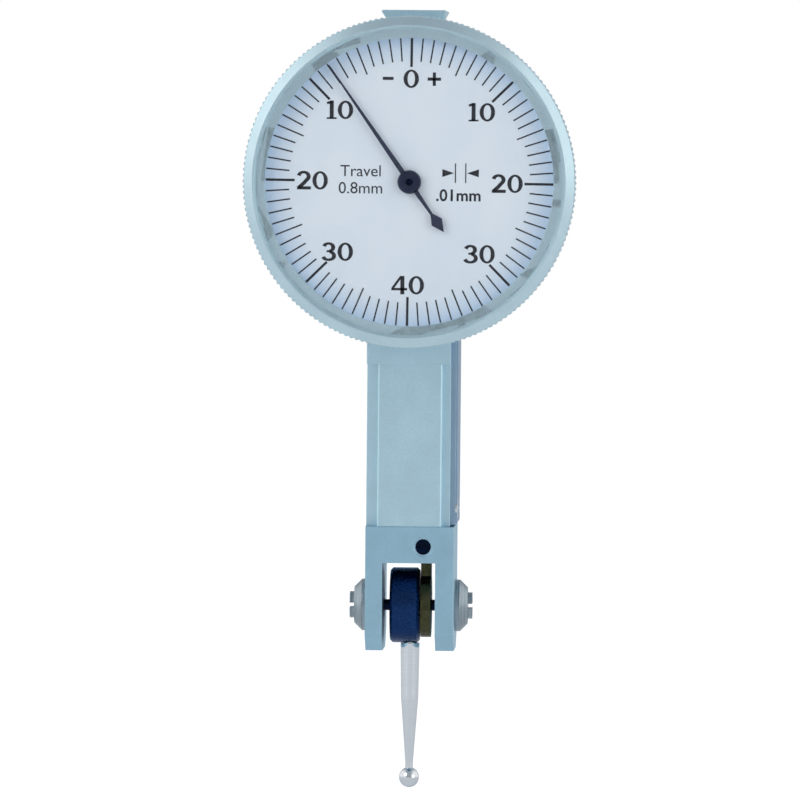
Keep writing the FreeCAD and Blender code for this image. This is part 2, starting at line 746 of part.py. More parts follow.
def make_pinion_bridge():
    """Make the bridge that hangs from the case floor and carries the spindle's rear jewel."""
    body = new_body("pinion_bridge")
    foot = sketch_on(body, "XZ_Plane", "-foot_back")
    draw_loop(foot, [
        ("-foot_left", "-foot_drop"),
        ("post_right", "-foot_drop"),
        ("post_right", "post_far"),
        ("-post_left", "post_far"),
        ("-post_left", "post_near"),
        ("-foot_left", "post_near"),
    ])
    pad(body, foot, "foot_thickness")
    post = sketch_on(body, "XZ_Plane", "-foot_front")
    draw_box(post, "-post_left", "post_right", "post_near", "post_far")
    pad(body, post, "foot_front - case_inside")
    flange = sketch_on(body, "XZ_Plane", "-case_inside")
    draw_box(flange, "-flange_half", "flange_half", "post_near", "flange_top")
    pad(body, flange, "flange_thickness")
    seat = sketch_on(body, "XZ_Plane", "-foot_front - jewel_thickness")
    draw_circle(seat, "0", "0", "jewel_radius + seat_gap")
    cut(body, seat, "jewel_thickness")
    sink = sketch_on(body, "XZ_Plane", "-foot_back")
    draw_circle(sink, "0", "0", "foot_hole_radius")
    cut(body, sink, "foot_thickness - jewel_thickness")
    holes = sketch_on(body, "XZ_Plane", "-case_inside")
    for across, up in bridge_screw_spots():
        draw_circle(holes, across, up, "small_shank_radius")
    cut(body, holes, "flange_thickness")
    place(body, up="dial_height")
    doc.recompute()
    front = "case_inside - flange_thickness"
    spots = [(across, front, from_dial(up)) for across, up in bridge_screw_spots()]
    screws("pinion_bridge_screws", spots, HEAD_FRONT, "plate_screw_length")
    ring("rear_jewel", "Y", "foot_front", "foot_front + jewel_thickness",
         "spindle_pivot_radius + jewel_gap", "jewel_radius", up="dial_height")


def make_crown_cock():
    """Make the cock that carries the crown shaft's right jewel, and the left jewel in the bar."""
    body = new_body("crown_cock")
    arm = sketch_on(body, "YZ_Plane", "cock_near")
    draw_loop(arm, [
        ("-cock_half_width", "0"),
        ("-cock_nose_half", "-cock_half_width"),
        ("cock_nose_half", "-cock_half_width"),
        ("cock_half_width", "0"),
        ("cock_half_width", "cock_length"),
        ("-cock_half_width", "cock_length"),
    ])
    pad(body, arm, "cock_thickness")
    seat = sketch_on(body, "YZ_Plane", "cock_near")
    draw_circle(seat, "0", "0", "jewel_radius + seat_gap")
    cut(body, seat, "jewel_thickness + end_shake")
    heads = sketch_on(body, "YZ_Plane", "cock_screw_seat")
    holes = sketch_on(body, "YZ_Plane", "cock_near")
    for along, up in cock_screw_spots():
        draw_circle(heads, f"{along} - pivot_y", f"{up} - dial_height", "small_head_radius + seat_gap")
        draw_circle(holes, f"{along} - pivot_y", f"{up} - dial_height", "small_shank_radius")
    cut(body, heads, "small_head_height")
    cut(body, holes, "cock_thickness - small_head_height")
    place(body, "0", "pivot_y", "dial_height")
    doc.recompute()
    spots = [("cock_screw_seat", along, up) for along, up in cock_screw_spots()]
    screws("crown_cock_screws", spots, HEAD_RIGHT)
    inner = "shaft_pivot_radius + jewel_gap"
    ring("crown_jewel_left", "X", "-chamber_left - jewel_thickness", "-chamber_left", inner,
         "jewel_radius", "0", "pivot_y", "dial_height")
    ring("crown_jewel_right", "X", "cock_near", "cock_near + jewel_thickness", inner,
         "jewel_radius", "0", "pivot_y", "dial_height")


def make_pivot_bearings():
    """Turn the hollow bearing screws and the bearing rings that carry the axle in the ears."""
    for side, sign, slot, ear in (
        ("left", "-1", "slot_left", "bar_left"),
        ("right", "1", "slot_right", "fork_right"),
    ):
        inner = f"{slot} + bearing_thread_inset"
        head = f"{ear} + bearing_head_height"
        boss = f"{head} + bearing_boss_height"
        outline = [
            (inner, "bearing_ring_radius + seat_gap"),
            (inner, "bearing_thread_radius"),
            (ear, "bearing_thread_radius"),
            (ear, "bearing_head_radius"),
            (f"{head} - bearing_cone_height", "bearing_head_radius"),
            (head, "bearing_head_radius - bearing_cone_width"),
            (head, "bearing_boss_radius"),
            (boss, "bearing_boss_radius"),
            (boss, "0"),
            (f"{inner} + bearing_cavity", "0"),
            (f"{inner} + bearing_cavity", "bearing_ring_radius + seat_gap"),
        ]
        corners = [(f"{sign} * ({distance})", radius) for distance, radius in outline]
        body = turned(f"bearing_screw_{side}", "X", corners, "0", "pivot_y", "pivot_z")
        groove = sketch_on(body, "YZ_Plane", f"{sign} * ({boss}) - bearing_boss_height")
        half = "bearing_slot_width / 2"
        draw_box(groove, "-bearing_boss_radius", "bearing_boss_radius", f"-{half}", half)
        cut(body, groove, "2 * bearing_boss_height")
        start = f"{sign} * ({inner} + bearing_ring_inset)"
        end = f"{sign} * ({inner} + bearing_ring_inset + bearing_ring_width)"
        ring(f"bearing_ring_{side}", "X", start, end, "axle_radius + bearing_gap",
             "bearing_ring_radius", "0", "pivot_y", "pivot_z")


def make_stops():
    """Turn the travel stop screw and cut the rest stop pin, one each side of the lever's arm."""
    head = "block_front + stop_screw_recess"
    body = turned("travel_stop_screw", "Y", [
        ("stop_tip_y", "0"),
        ("stop_tip_y", "stop_screw_radius"),
        (head, "stop_screw_radius"),
        (head, "0"),
    ], "stop_screw_across", "0", "stop_z")
    slot = sketch_on(body, "XZ_Plane", f"-({head}) - small_slot_depth")
    half_slot = "small_slot_width / 2"
    draw_box(slot, "-stop_screw_radius", "stop_screw_radius", f"-{half_slot}", half_slot)
    cut(body, slot, "small_slot_depth")
    pin = doc.addObject("Part::Cylinder", "rest_stop_pin")
    pin.setExpression("Radius", bind("stop_pin_radius"))
    pin.setExpression("Height", bind("lever_thickness + 2 * (lever_side_gap + stop_pin_bite)"))
    place(pin, "lever_near - lever_side_gap - stop_pin_bite", "stop_pin_y", "stop_z", HEAD_RIGHT)
    keep(pin, "rest_stop_pin")


def make_bezel():
    """Turn the bezel, then cut its straight knurl with a many-pointed star."""
    blank = turned("bezel_blank", "Y", [
        ("bezel_back", "bezel_bore"),
        ("bezel_back", "skirt_radius"),
        ("bezel_back - skirt_length", "skirt_radius"),
        ("bezel_back - skirt_length", "bezel_radius"),
        ("bezel_front + bezel_bevel_height", "bezel_radius"),
        ("bezel_front + bezel_bevel_height", "bezel_radius - knurl_depth"),
        ("bezel_front", "bezel_radius - bezel_bevel_width"),
        ("bezel_front", "bezel_mouth"),
        ("lip_front", "bezel_mouth"),
        ("lip_front", "lip_radius"),
        ("dial_front", "lip_radius"),
        ("dial_front", "bezel_bore"),
        ("dial_back", "bezel_bore"),
        ("dial_back", "bezel_bore + snap_ring_bite + wire_gap"),
        ("snap_back", "bezel_bore + snap_ring_bite + wire_gap"),
        ("snap_back", "bezel_bore"),
        ("wire_y - wire_half - wire_gap", "bezel_bore"),
        ("wire_y - wire_half - wire_gap", "wire_orbit + wire_half + wire_gap"),
        ("wire_y + wire_half + wire_gap", "wire_orbit + wire_half + wire_gap"),
        ("wire_y + wire_half + wire_gap", "bezel_bore"),
    ], up="dial_height", is_node=False)
    count = 2 * int(value("knurl_count"))
    points = []
    for index in range(count + 1):
        radius = value("bezel_radius") - (index % 2) * value("knurl_depth")
        angle = 2 * math.pi * (index % count) / count
        across = radius * math.cos(angle)
        up = radius * math.sin(angle)
        points.append(FreeCAD.Vector(across, value("bezel_front"), up))
    star = doc.addObject("Part::Feature", "knurl_star")
    depth = FreeCAD.Vector(0, value("bezel_back - bezel_front"), 0)
    star.Shape = Part.Face(Part.makePolygon(points)).extrude(depth)
    place(star, up="dial_height")
    bezel = doc.addObject("Part::Common", "bezel_ring")
    bezel.Base = blank
    bezel.Tool = star
    doc.recompute()
    keep(bezel, "bezel_ring")


def make_dial_parts():
    """Turn the dial face, the crystal, the snap ring and the bezel's wire spring."""
    ring("dial_face", "Y", "dial_front", "dial_back", "dial_hole_radius", "dial_radius", up="dial_height")
    turned("crystal", "Y", [
        ("lip_front", "0"),
        ("lip_front", "crystal_radius"),
        ("crystal_front + crystal_bevel", "crystal_radius"),
        ("crystal_front", "crystal_radius - crystal_bevel"),
        ("crystal_front", "0"),
    ], up="dial_height")
    ring("dial_snap_ring", "Y", "snap_back", "dial_back", "bezel_bore + snap_ring_bite - snap_ring_width",
         "bezel_bore + snap_ring_bite", up="dial_height", sweep="snap_ring_arc")
    ring("bezel_wire_spring", "Y", "wire_y - wire_half", "wire_y + wire_half",
         "wire_orbit - wire_half", "wire_orbit + wire_half", up="dial_height", sweep="wire_arc")


def involute(angle):
    """The involute function of a pressure angle, in radians."""
    return math.tan(angle) - angle


def toothed_face(teeth, pitch_radius, tip_radius, root_radius, first_tooth):
    """Draw a gear's outline in local X and Y, with involute flanks and a tooth at first_tooth."""
    pressure_angle = math.radians(value("pressure_angle"))
    base_radius = pitch_radius * math.cos(pressure_angle)
    half_pitch_angle = math.pi / (2 * teeth) - value("tooth_backlash") / pitch_radius
    low_radius = max(base_radius, root_radius)
    flank = [(root_radius, half_pitch_angle + involute(pressure_angle))]
    for step in range(FLANK_COUNT + 1):
        radius = low_radius + (tip_radius - low_radius) * step / FLANK_COUNT
        pressure = math.acos(min(1.0, base_radius / radius))
        half_angle = half_pitch_angle + involute(pressure_angle) - involute(pressure)
        flank.append((radius, half_angle))
    points = []
    for tooth in range(teeth):
        middle = first_tooth + 2 * math.pi * tooth / teeth
        for radius, half_angle in flank:
            points.append((radius, middle - half_angle))
        for radius, half_angle in reversed(flank):
            points.append((radius, middle + half_angle))
    corners = [
        FreeCAD.Vector(radius * math.cos(angle), radius * math.sin(angle), 0)
        for radius, angle in points
    ]
    return Part.Face(Part.makePolygon(corners + corners[:1]))


def leaves(name, teeth, module, first_tooth, start, end, turn, along, up):
    """Make a toothed prism along local Z, then turn it onto its shaft's axis."""
    radius = value(f"{module} * {teeth} / 2")
    tip_radius = radius + value(f"leaf_tip_factor * {module}")
    root_radius = radius - value(f"leaf_root_factor * {module}")
    face = toothed_face(int(value(teeth)), radius, tip_radius, root_radius, first_tooth)
    face.translate(FreeCAD.Vector(0, 0, value(start)))
    feature = doc.addObject("Part::Feature", name)
    feature.Shape = face.extrude(FreeCAD.Vector(0, 0, value(end) - value(start)))
    place(feature, "0", along, up, turn)
    doc.recompute()
    return feature


def fuse(label, parts):
    """Join helper objects into one node."""
    joined = doc.addObject("Part::MultiFuse", label)
    joined.Shapes = parts
    doc.recompute()
    return keep(joined, label)


def make_spindle():
    """Turn the pointer spindle and join the twelve leaves of the centre pinion to it."""
    root = "centre_pitch - (leaf_root_factor - leaf_root_lap) * crown_module"
    core = turned("spindle_core", "Y", [
        ("foot_front + jewel_thickness - end_shake", "0"),
        ("foot_front + jewel_thickness - end_shake", "spindle_pivot_radius"),
        ("foot_front - end_shake", "spindle_pivot_radius"),
        ("foot_front - end_shake", "spindle_radius"),
        ("pinion_back", "spindle_radius"),
        ("pinion_back", root),
        ("pinion_front", root),
        ("pinion_front", "spindle_radius"),
        ("hub_front - spindle_stand_out", "spindle_radius"),
        ("hub_front - spindle_stand_out", "0"),
    ], up="dial_height", is_node=False)
    towards_crown = math.pi
    pinion = leaves("centre_leaves", "centre_pinion_teeth", "crown_module", towards_crown,
                    "-pinion_back", "-pinion_front", HEAD_FRONT, "0", "dial_height")
    fuse("pointer_spindle", [core, pinion])


def make_pointer():
    """Cut the pointer with its counterweight tail, and turn the hub that holds it."""
    body = new_body("pointer")
    needle = sketch_on(body, "XZ_Plane", "-pointer_back")
    draw_loop(needle, [
        ("-pointer_tip_half", "pointer_reach"),
        ("pointer_tip_half", "pointer_reach"),
        ("pointer_root_half", "0"),
        ("tail_half", "spear_length - pointer_tail"),
        ("spear_half", "spear_length - spear_shoulder - pointer_tail"),
        ("0", "-pointer_tail"),
        ("-spear_half", "spear_length - spear_shoulder - pointer_tail"),
        ("-tail_half", "spear_length - pointer_tail"),
        ("-pointer_root_half", "0"),
    ])
    pad(body, needle, "pointer_thickness")
    boss = sketch_on(body, "XZ_Plane", "-pointer_back")
    draw_circle(boss, "0", "0", "hub_radius - seat_gap")
    pad(body, boss, "pointer_thickness")
    hole = sketch_on(body, "XZ_Plane", "-pointer_back")
    draw_circle(hole, "0", "0", "hub_sleeve_radius + seat_gap")
    cut(body, hole, "pointer_thickness")
    left_turn = FreeCAD.Rotation(FreeCAD.Vector(0, -1, 0), value("pointer_angle"))
    place(body, up="dial_height", turn=left_turn)
    bore = "spindle_radius + seat_gap / 2"
    turned("pointer_hub", "Y", [
        ("pointer_back + hub_collar_height", bore),
        ("pointer_back + hub_collar_height", "hub_sleeve_radius"),
        ("pointer_front", "hub_sleeve_radius"),
        ("pointer_front", "hub_radius"),
        ("hub_front", "hub_radius - hub_height / 2"),
        ("hub_front", bore),
    ], up="dial_height")
    ring("hairspring_collet", "Y", "hairspring_y - collet_height / 2", "hairspring_y + collet_height / 2",
         bore, "collet_radius", up="dial_height")


def make_hairspring():
    """Wind the flat hairspring from the collet out to its stud on the movement plate."""
    start = value("collet_radius + hairspring_strip / 2 + seat_gap")
    end = value("hairspring_radius - hairspring_strip / 2")
    steps = int(value("hairspring_turns") * SPRING_COUNT)
    inside = []
    outside = []
    half_strip = value("hairspring_strip") / 2
    for step in range(steps + 1):
        angle = 2 * math.pi * (step - steps) / SPRING_COUNT
        radius = start + (end - start) * step / steps
        direction = FreeCAD.Vector(math.cos(angle), 0, math.sin(angle))
        inside.append(direction * (radius - half_strip))
        outside.append(direction * (radius + half_strip))
    outline = inside + outside[::-1] + inside[:1]
    spring = doc.addObject("Part::Feature", "hairspring")
    strip_width = FreeCAD.Vector(0, value("hairspring_height"), 0)
    spring.Shape = Part.Face(Part.makePolygon(outline)).extrude(strip_width)
    place(spring, "0", "hairspring_y - hairspring_height / 2", "dial_height")
    keep(spring, "hairspring")
    stud = doc.addObject("Part::Cylinder", "hairspring_stud")
    stud.setExpression("Radius", bind("hairspring_stud_radius"))
    stud.setExpression("Height", bind("hairspring_y + hairspring_height - plate_front"))
    place(stud, "hairspring_radius + hairspring_stud_radius + seat_gap",
          "hairspring_y + hairspring_height", "dial_height", HEAD_FRONT)
    keep(stud, "hairspring_stud")


def make_crown():
    """Turn the crown wheel, pattern its face teeth, and make the shaft with the lever's pinion."""
    body = turned("crown_gear", "X", [
        ("crown_back_x", "shaft_radius + seat_gap / 2"),
        ("crown_back_x + crown_hub_length", "shaft_radius + seat_gap / 2"),
        ("crown_back_x + crown_hub_length", "crown_hub_radius"),
        ("crown_back_x + crown_web", "crown_hub_radius"),
        ("crown_back_x + crown_web", "crown_inner"),
        ("crown_root_x", "crown_inner"),
        ("crown_root_x", "crown_outer"),
        ("crown_back_x", "crown_outer"),
    ])
    windows = sketch_on(body, "YZ_Plane", "crown_back_x")
    for along, up in round_spots("crown_window_orbit", "crown_window_count", "0"):
        draw_circle(windows, along, up, "crown_window_radius")
    cut(body, windows, "crown_web")
    tooth = body.newObject("PartDesign::AdditiveLoft", "crown_tooth")
    sections = []
    for radius in ("crown_inner", "crown_outer"):
        section = sketch_on(body, "XZ_Plane", radius)
        spread = f"({radius}) / crown_radius"
        middle = "(pi * crown_module / 4 - tooth_backlash)"
        root_half = f"({middle} + tooth_root_factor * crown_module * tan(pressure_angle)) * {spread}"
        tip_half = f"({middle} - crown_tip_factor * crown_module * tan(pressure_angle)) * {spread}"
        tip_x = "-centre_pitch + crown_tip_factor * crown_module"
        draw_loop(section, [
            ("crown_root_x - crown_module", root_half),
            ("crown_root_x", root_half),
            (tip_x, tip_half),
            (tip_x, f"-({tip_half})"),
            ("crown_root_x", f"-({root_half})"),
            ("crown_root_x - crown_module", f"-({root_half})"),
        ])
        sections.append(section)
    tooth.Profile = sections[0]
    tooth.Sections = sections[1:]
    tooth.Ruled = True
    doc.recompute()
    repeat_round(body, [tooth], "X_Axis", "crown_teeth")
    half_tooth = FreeCAD.Rotation(FreeCAD.Vector(1, 0, 0), value("180 / crown_teeth"))
    place(body, "0", "pivot_y", "dial_height", half_tooth)
    root = "crown_pinion_pitch - (leaf_root_factor - leaf_root_lap) * lever_module"
    left_end = "-chamber_left + end_shake"
    right_end = "cock_near - end_shake"
    core = turned("crown_shaft_core", "X", [
        (f"{left_end} - shaft_pivot_length", "0"),
        (f"{left_end} - shaft_pivot_length", "shaft_pivot_radius"),
        (left_end, "shaft_pivot_radius"),
        (left_end, "shaft_radius"),
        ("lever_near - pinion_margin", "shaft_radius"),
        ("lever_near - pinion_margin", root),
        ("lever_far + pinion_margin", root),
        ("lever_far + pinion_margin", "shaft_radius"),
        (right_end, "shaft_radius"),
        (right_end, "shaft_pivot_radius"),
        (f"{right_end} + shaft_pivot_length", "shaft_pivot_radius"),
        (f"{right_end} + shaft_pivot_length", "0"),
    ], "0", "pivot_y", "dial_height", is_node=False)
    sector_phase = value("lever_swing / 2 * sector_full_teeth / 360") - 0.5
    off_mesh = (sector_phase - round(sector_phase)) * 2 * math.pi / int(value("crown_pinion_teeth"))
    pinion = leaves("crown_leaves", "crown_pinion_teeth", "lever_module", off_mesh,
                    "lever_near - pinion_margin", "lever_far + pinion_margin",
                    HEAD_RIGHT, "pivot_y", "dial_height")
    fuse("crown_pinion_shaft", [core, pinion])


def make_lever():
    """Cut the brass lever: pivot boss, tapering arm and the toothed sector at its top."""
    body = new_body("lever_sector")
    boss = sketch_on(body, "YZ_Plane", "lever_near")
    draw_circle(boss, "0", "0", "lever_boss_radius")
    pad(body, boss, "lever_thickness")
    root_radius = "(sector_pitch - tooth_root_factor * lever_module)"
    half_sector = "(lever_tooth_count * 180 / sector_full_teeth)"
    rim_low = f"({root_radius} - lever_rim)"
    arm = sketch_on(body, "YZ_Plane", "lever_near")
    beyond = f"({root_radius} + lever_module)"
    draw_loop(arm, [
        ("lever_root_half", "0"),
        ("lever_tip_half", f"{rim_low} - lever_flare"),
        (f"{rim_low} * tan{half_sector}", rim_low),
        (f"{beyond} * tan{half_sector}", beyond),
        (f"-{beyond} * tan{half_sector}", beyond),
        (f"-{rim_low} * tan{half_sector}", rim_low),
        ("-lever_tip_half", f"{rim_low} - lever_flare"),
        ("-lever_root_half", "0"),
    ])
    pad(body, arm, "lever_thickness")
    trim = sketch_on(body, "YZ_Plane", "lever_near")
    draw_circle(trim, "0", "0", root_radius)
    draw_circle(trim, "0", "0", f"{beyond} + lever_module")
    cut(body, trim, "lever_thickness")
    middle = "(pi * lever_module / 4 - tooth_backlash)"
    low_half = f"({middle} + tooth_root_factor * lever_module * tan(pressure_angle))"
    high_half = f"({middle} - sector_tip_factor * lever_module * tan(pressure_angle))"
    outline = [
        (low_half, f"{root_radius} - lever_module"),
        (low_half, root_radius),
        (high_half, "sector_pitch + sector_tip_factor * lever_module"),
        (f"-{high_half}", "sector_pitch + sector_tip_factor * lever_module"),
        (f"-{low_half}", root_radius),
        (f"-{low_half}", f"{root_radius} - lever_module"),
    ]
    teeth = []
    for index in range(int(value("lever_tooth_count"))):
        angle = f"(({index} - (lever_tooth_count - 1) / 2) * 360 / sector_full_teeth)"
        tooth = sketch_on(body, "YZ_Plane", "lever_near")
        draw_loop(tooth, [
            (f"({across}) * cos{angle} - {up} * sin{angle}", f"({across}) * sin{angle} + {up} * cos{angle}")
            for across, up in [(across, f"({up})") for across, up in outline]
        ])
        teeth.append(pad(body, tooth, "lever_thickness"))
    bore = sketch_on(body, "YZ_Plane", "lever_near")
    draw_circle(bore, "0", "0", "axle_radius + seat_gap / 2")
    cut(body, bore, "lever_thickness")
    lean_back = FreeCAD.Rotation(FreeCAD.Vector(-1, 0, 0), value("lever_swing / 2"))
    place(body, "0", "pivot_y", "pivot_z", lean_back)
    axle = doc.addObject("Part::Cylinder", "pivot_axle")
    axle.setExpression("Radius", bind("axle_radius"))
    axle.setExpression("Height", bind("slot_left + slot_right + 2 * axle_reach"))
    place(axle, "-slot_left - axle_reach", "pivot_y", "pivot_z", HEAD_RIGHT)
    keep(axle, "pivot_axle")


def make_stylus():
    """Turn the pivot block, the tapered stylus shank and the contact ball."""
    block = turned("pivot_block", "X", [
        ("-block_left", "axle_radius + bearing_gap"),
        ("block_right", "axle_radius + bearing_gap"),
        ("block_right", "block_radius - block_chamfer"),
        ("block_right - block_chamfer", "block_radius"),
        ("-block_left + block_chamfer", "block_radius"),
        ("-block_left", "block_radius - block_chamfer"),
    ], "0", "pivot_y", "pivot_z")
    socket = sketch_on(block, "XY_Plane", "-block_radius")
    draw_circle(socket, "0", "0", "stud_radius + seat_gap")
    cut(block, socket, "stud_length")
    shoulder = "-block_radius - seat_gap"
    turned("stylus_shank", "Z", [
        (f"{shoulder} + stud_length", "0"),
        (f"{shoulder} + stud_length", "stud_radius"),
        (shoulder, "stud_radius"),
        (shoulder, "shank_root_radius"),
        ("-shank_middle_drop", "shank_middle_radius"),
        ("-shank_tip_drop", "shank_tip_radius"),
        ("-stylus_length + ball_radius - ball_hole_depth + seat_gap", "shank_tip_radius"),
        ("-stylus_length + ball_radius - ball_hole_depth + seat_gap", "0"),
    ], "0", "pivot_y", "pivot_z")
    sphere = doc.addObject("Part::Sphere", "ball_blank")
    sphere.setExpression("Radius", bind("ball_radius"))
    place(sphere, "0", "pivot_y", "pivot_z - stylus_length")
    drill = doc.addObject("Part::Cylinder", "ball_hole")
    drill.setExpression("Radius", bind("shank_tip_radius + seat_gap / 2"))
    drill.setExpression("Height", bind("ball_radius"))
    place(drill, "0", "pivot_y", "pivot_z - stylus_length + ball_radius - ball_hole_depth")
    ball = doc.addObject("Part::Cut", "contact_ball")
    ball.Base = sphere
    ball.Tool = drill
    keep(ball, "contact_ball")


make_body_bar()
make_fork()
make_side_cover()
make_movement_case()
make_movement_plate()
make_pinion_bridge()
make_crown_cock()
make_pivot_bearings()
make_stops()
make_bezel()
make_dial_parts()
make_spindle()
make_pointer()
make_hairspring()
make_crown()
make_lever()
make_stylus()
doc.recompute()

for thing in doc.Objects:
    if "Invalid" in thing.State or "Error" in thing.State:
        raise RuntimeError(f"{thing.Name} did not compute")
for node in nodes:
    if node.Shape.isNull() or not node.Shape.isValid():
        raise RuntimeError(f"{node.Label} has no valid shape")

os.makedirs("parts", exist_ok=True)
for node in nodes:
    node.Shape.exportStep(f"parts/{node.Label}.step")
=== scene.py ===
import math

import bmesh
import bpy
from bpy.props import FloatProperty, FloatVectorProperty, IntProperty, PointerProperty
from mathutils import Matrix, Vector


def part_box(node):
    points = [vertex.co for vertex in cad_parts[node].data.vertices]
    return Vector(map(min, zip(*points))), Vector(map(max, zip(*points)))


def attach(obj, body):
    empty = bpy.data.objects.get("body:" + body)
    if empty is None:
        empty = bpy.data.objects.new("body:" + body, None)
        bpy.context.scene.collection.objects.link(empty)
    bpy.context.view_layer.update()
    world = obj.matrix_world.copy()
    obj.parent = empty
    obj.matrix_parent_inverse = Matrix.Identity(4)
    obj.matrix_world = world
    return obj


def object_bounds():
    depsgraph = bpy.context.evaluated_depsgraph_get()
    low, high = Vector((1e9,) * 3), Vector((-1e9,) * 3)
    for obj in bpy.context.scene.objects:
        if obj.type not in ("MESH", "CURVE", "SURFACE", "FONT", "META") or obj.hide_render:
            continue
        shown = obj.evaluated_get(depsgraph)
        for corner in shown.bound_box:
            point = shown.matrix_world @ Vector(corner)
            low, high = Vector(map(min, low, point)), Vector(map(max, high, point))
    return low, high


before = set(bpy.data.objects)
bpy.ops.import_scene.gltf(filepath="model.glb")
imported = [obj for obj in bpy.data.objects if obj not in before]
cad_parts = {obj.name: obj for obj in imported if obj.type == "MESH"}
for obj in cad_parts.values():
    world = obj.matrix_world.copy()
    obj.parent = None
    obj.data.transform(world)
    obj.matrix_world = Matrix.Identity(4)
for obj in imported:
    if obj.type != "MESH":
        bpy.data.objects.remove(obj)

bl_info = {
    "name": "Dial test indicator",
    "version": (1, 0, 0),
    "blender": (4, 5, 0),
    "location": "View3D > Sidebar > Indicator",
    "description": "Finishes a dial test indicator: satin chrome, printed dial, crystal and steels",
    "category": "Object",
}

CAD_BOX = [list(corner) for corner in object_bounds()]
MM = 0.001
PI = math.pi

# Height of a digit in the lettering font, as a share of the font's size.
FONT_DIGIT_HEIGHT = 0.729
# Pen widths and spacing of the numerals, as shares of their height.
STEM = 0.22
HAIR = 0.11
DIGIT_GAP = 0.06

# How far the lip covers the dial's edge.
LIP_COVER = 0.6 * MM
# How much farther out the numerals at the top and bottom stand.
TALL_ORBIT = 0.55 * MM

# The signs beside the zero: piece, side and length.
SIGNS = (("minus_sign", -1, 1.05 * MM), ("plus_sign", 1, 1.3 * MM))
SIGN_ANGLE = math.radians(12.6)
SIGN_ORBIT = 10.25 * MM
SIGN_WIDTH = 0.3 * MM

# The notes: piece, words, place across and up from the dial's middle, and weight.
NOTES = (
    ("travel_word", "Travel", -4.75 * MM, 1.05 * MM, 0.0),
    ("travel_length", "0.8mm", -4.75 * MM, -0.6 * MM, 0.0),
    ("division_value", ".01mm", 4.75 * MM, -1.25 * MM, 0.02),
)

# The two lines that show one division, and the arrows towards them.
LINES_ACROSS = 4.95 * MM
LINES_UP = 0.9 * MM
LINE_OFFSET = 0.5 * MM
LINE_HALF_WIDTH = 0.055 * MM
LINE_HALF_HEIGHT = 0.95 * MM
ARROW_CLEARANCE = 0.12 * MM
ARROW_LENGTH = 1.15 * MM
ARROW_HALF_HEIGHT = 0.38 * MM

FLOOR_RADIUS = 1.2
FLOOR_GLOW = 0.45
# Lamps: name, place, side in metres and power in watts.
LAMPS = (
    ("key_softbox", (-0.45, -0.45, 0.35), 0.35, 1.1),
    ("fill_softbox", (0.50, -0.40, 0.10), 0.30, 0.5),
)
WHITE = (1.0, 1.0, 1.0)
DIM_WALL = (0.40, 0.42, 0.45)


def middle(node):
    """Give the middle of a node's box at rest."""
    low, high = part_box(node)
    return (Vector(low) + Vector(high)) / 2


def size_of(node):
    """Give the lengths of a node's box at rest."""
    low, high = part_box(node)
    return Vector(high) - Vector(low)


# ---------------------------------------------------------------- settings


class DialPrint(bpy.types.PropertyGroup):
    """Sizes and colours of what is printed on the dial."""

    divisions: IntProperty(
        name="Divisions", description="Graduations on the full circle", default=80)
    labels_every: IntProperty(
        name="Numbered every", description="Divisions between numerals", default=10)
    lean: FloatProperty(
        name="Zero lean", description="How far the zero is turned clockwise from the top",
        default=math.radians(0.5), subtype="ANGLE", unit="ROTATION")
    margin: FloatProperty(
        name="Edge margin", description="From the edge of the lip to the outer ends of the marks",
        default=0.05 * MM, subtype="DISTANCE", unit="LENGTH")
    short_mark: FloatProperty(
        name="Plain mark", description="Length of a plain graduation",
        default=2.25 * MM, subtype="DISTANCE", unit="LENGTH")
    middle_mark: FloatProperty(
        name="Fifth mark", description="Length of every fifth graduation",
        default=2.75 * MM, subtype="DISTANCE", unit="LENGTH")
    long_mark: FloatProperty(
        name="Tenth mark", description="Length of every tenth graduation",
        default=2.8 * MM, subtype="DISTANCE", unit="LENGTH")
    thin_line: FloatProperty(
        name="Thin line", description="Width of a plain graduation",
        default=0.14 * MM, subtype="DISTANCE", unit="LENGTH")
    thick_line: FloatProperty(
        name="Thick line", description="Width of every tenth graduation",
        default=0.24 * MM, subtype="DISTANCE", unit="LENGTH")
    numeral_height: FloatProperty(
        name="Numeral height", description="Height of the dial's numerals",
        default=1.78 * MM, subtype="DISTANCE", unit="LENGTH")
    numeral_orbit: FloatProperty(
        name="Numeral orbit", description="Distance of the side numerals from the dial's middle",
        default=9.45 * MM, subtype="DISTANCE", unit="LENGTH")
    note_height: FloatProperty(
        name="Note height", description="Digit height of the two small notes",
        default=1.15 * MM, subtype="DISTANCE", unit="LENGTH")
    film: FloatProperty(
        name="Ink film", description="Thickness of the printed ink",
        default=0.012 * MM, subtype="DISTANCE", unit="LENGTH")
    ink: FloatVectorProperty(
        name="Ink", description="Colour of the numerals and marks",
        default=(0.006, 0.008, 0.016), min=0, max=1, subtype="COLOR")
    face: FloatVectorProperty(
        name="Enamel", description="Colour of the dial's enamel",
        default=(0.80, 0.87, 0.93), min=0, max=1, subtype="COLOR")
    # Painted shade and painted bluish reflection towards the dial's rim.
    face_edge: FloatVectorProperty(
        name="Enamel edge", description="Bluer shade of the enamel towards the edge",
        default=(0.56, 0.70, 0.88), min=0, max=1, subtype="COLOR")
    pointer: FloatVectorProperty(
        name="Pointer", description="Colour of the pointer's enamel",
        default=(0.010, 0.018, 0.055), min=0, max=1, subtype="COLOR")


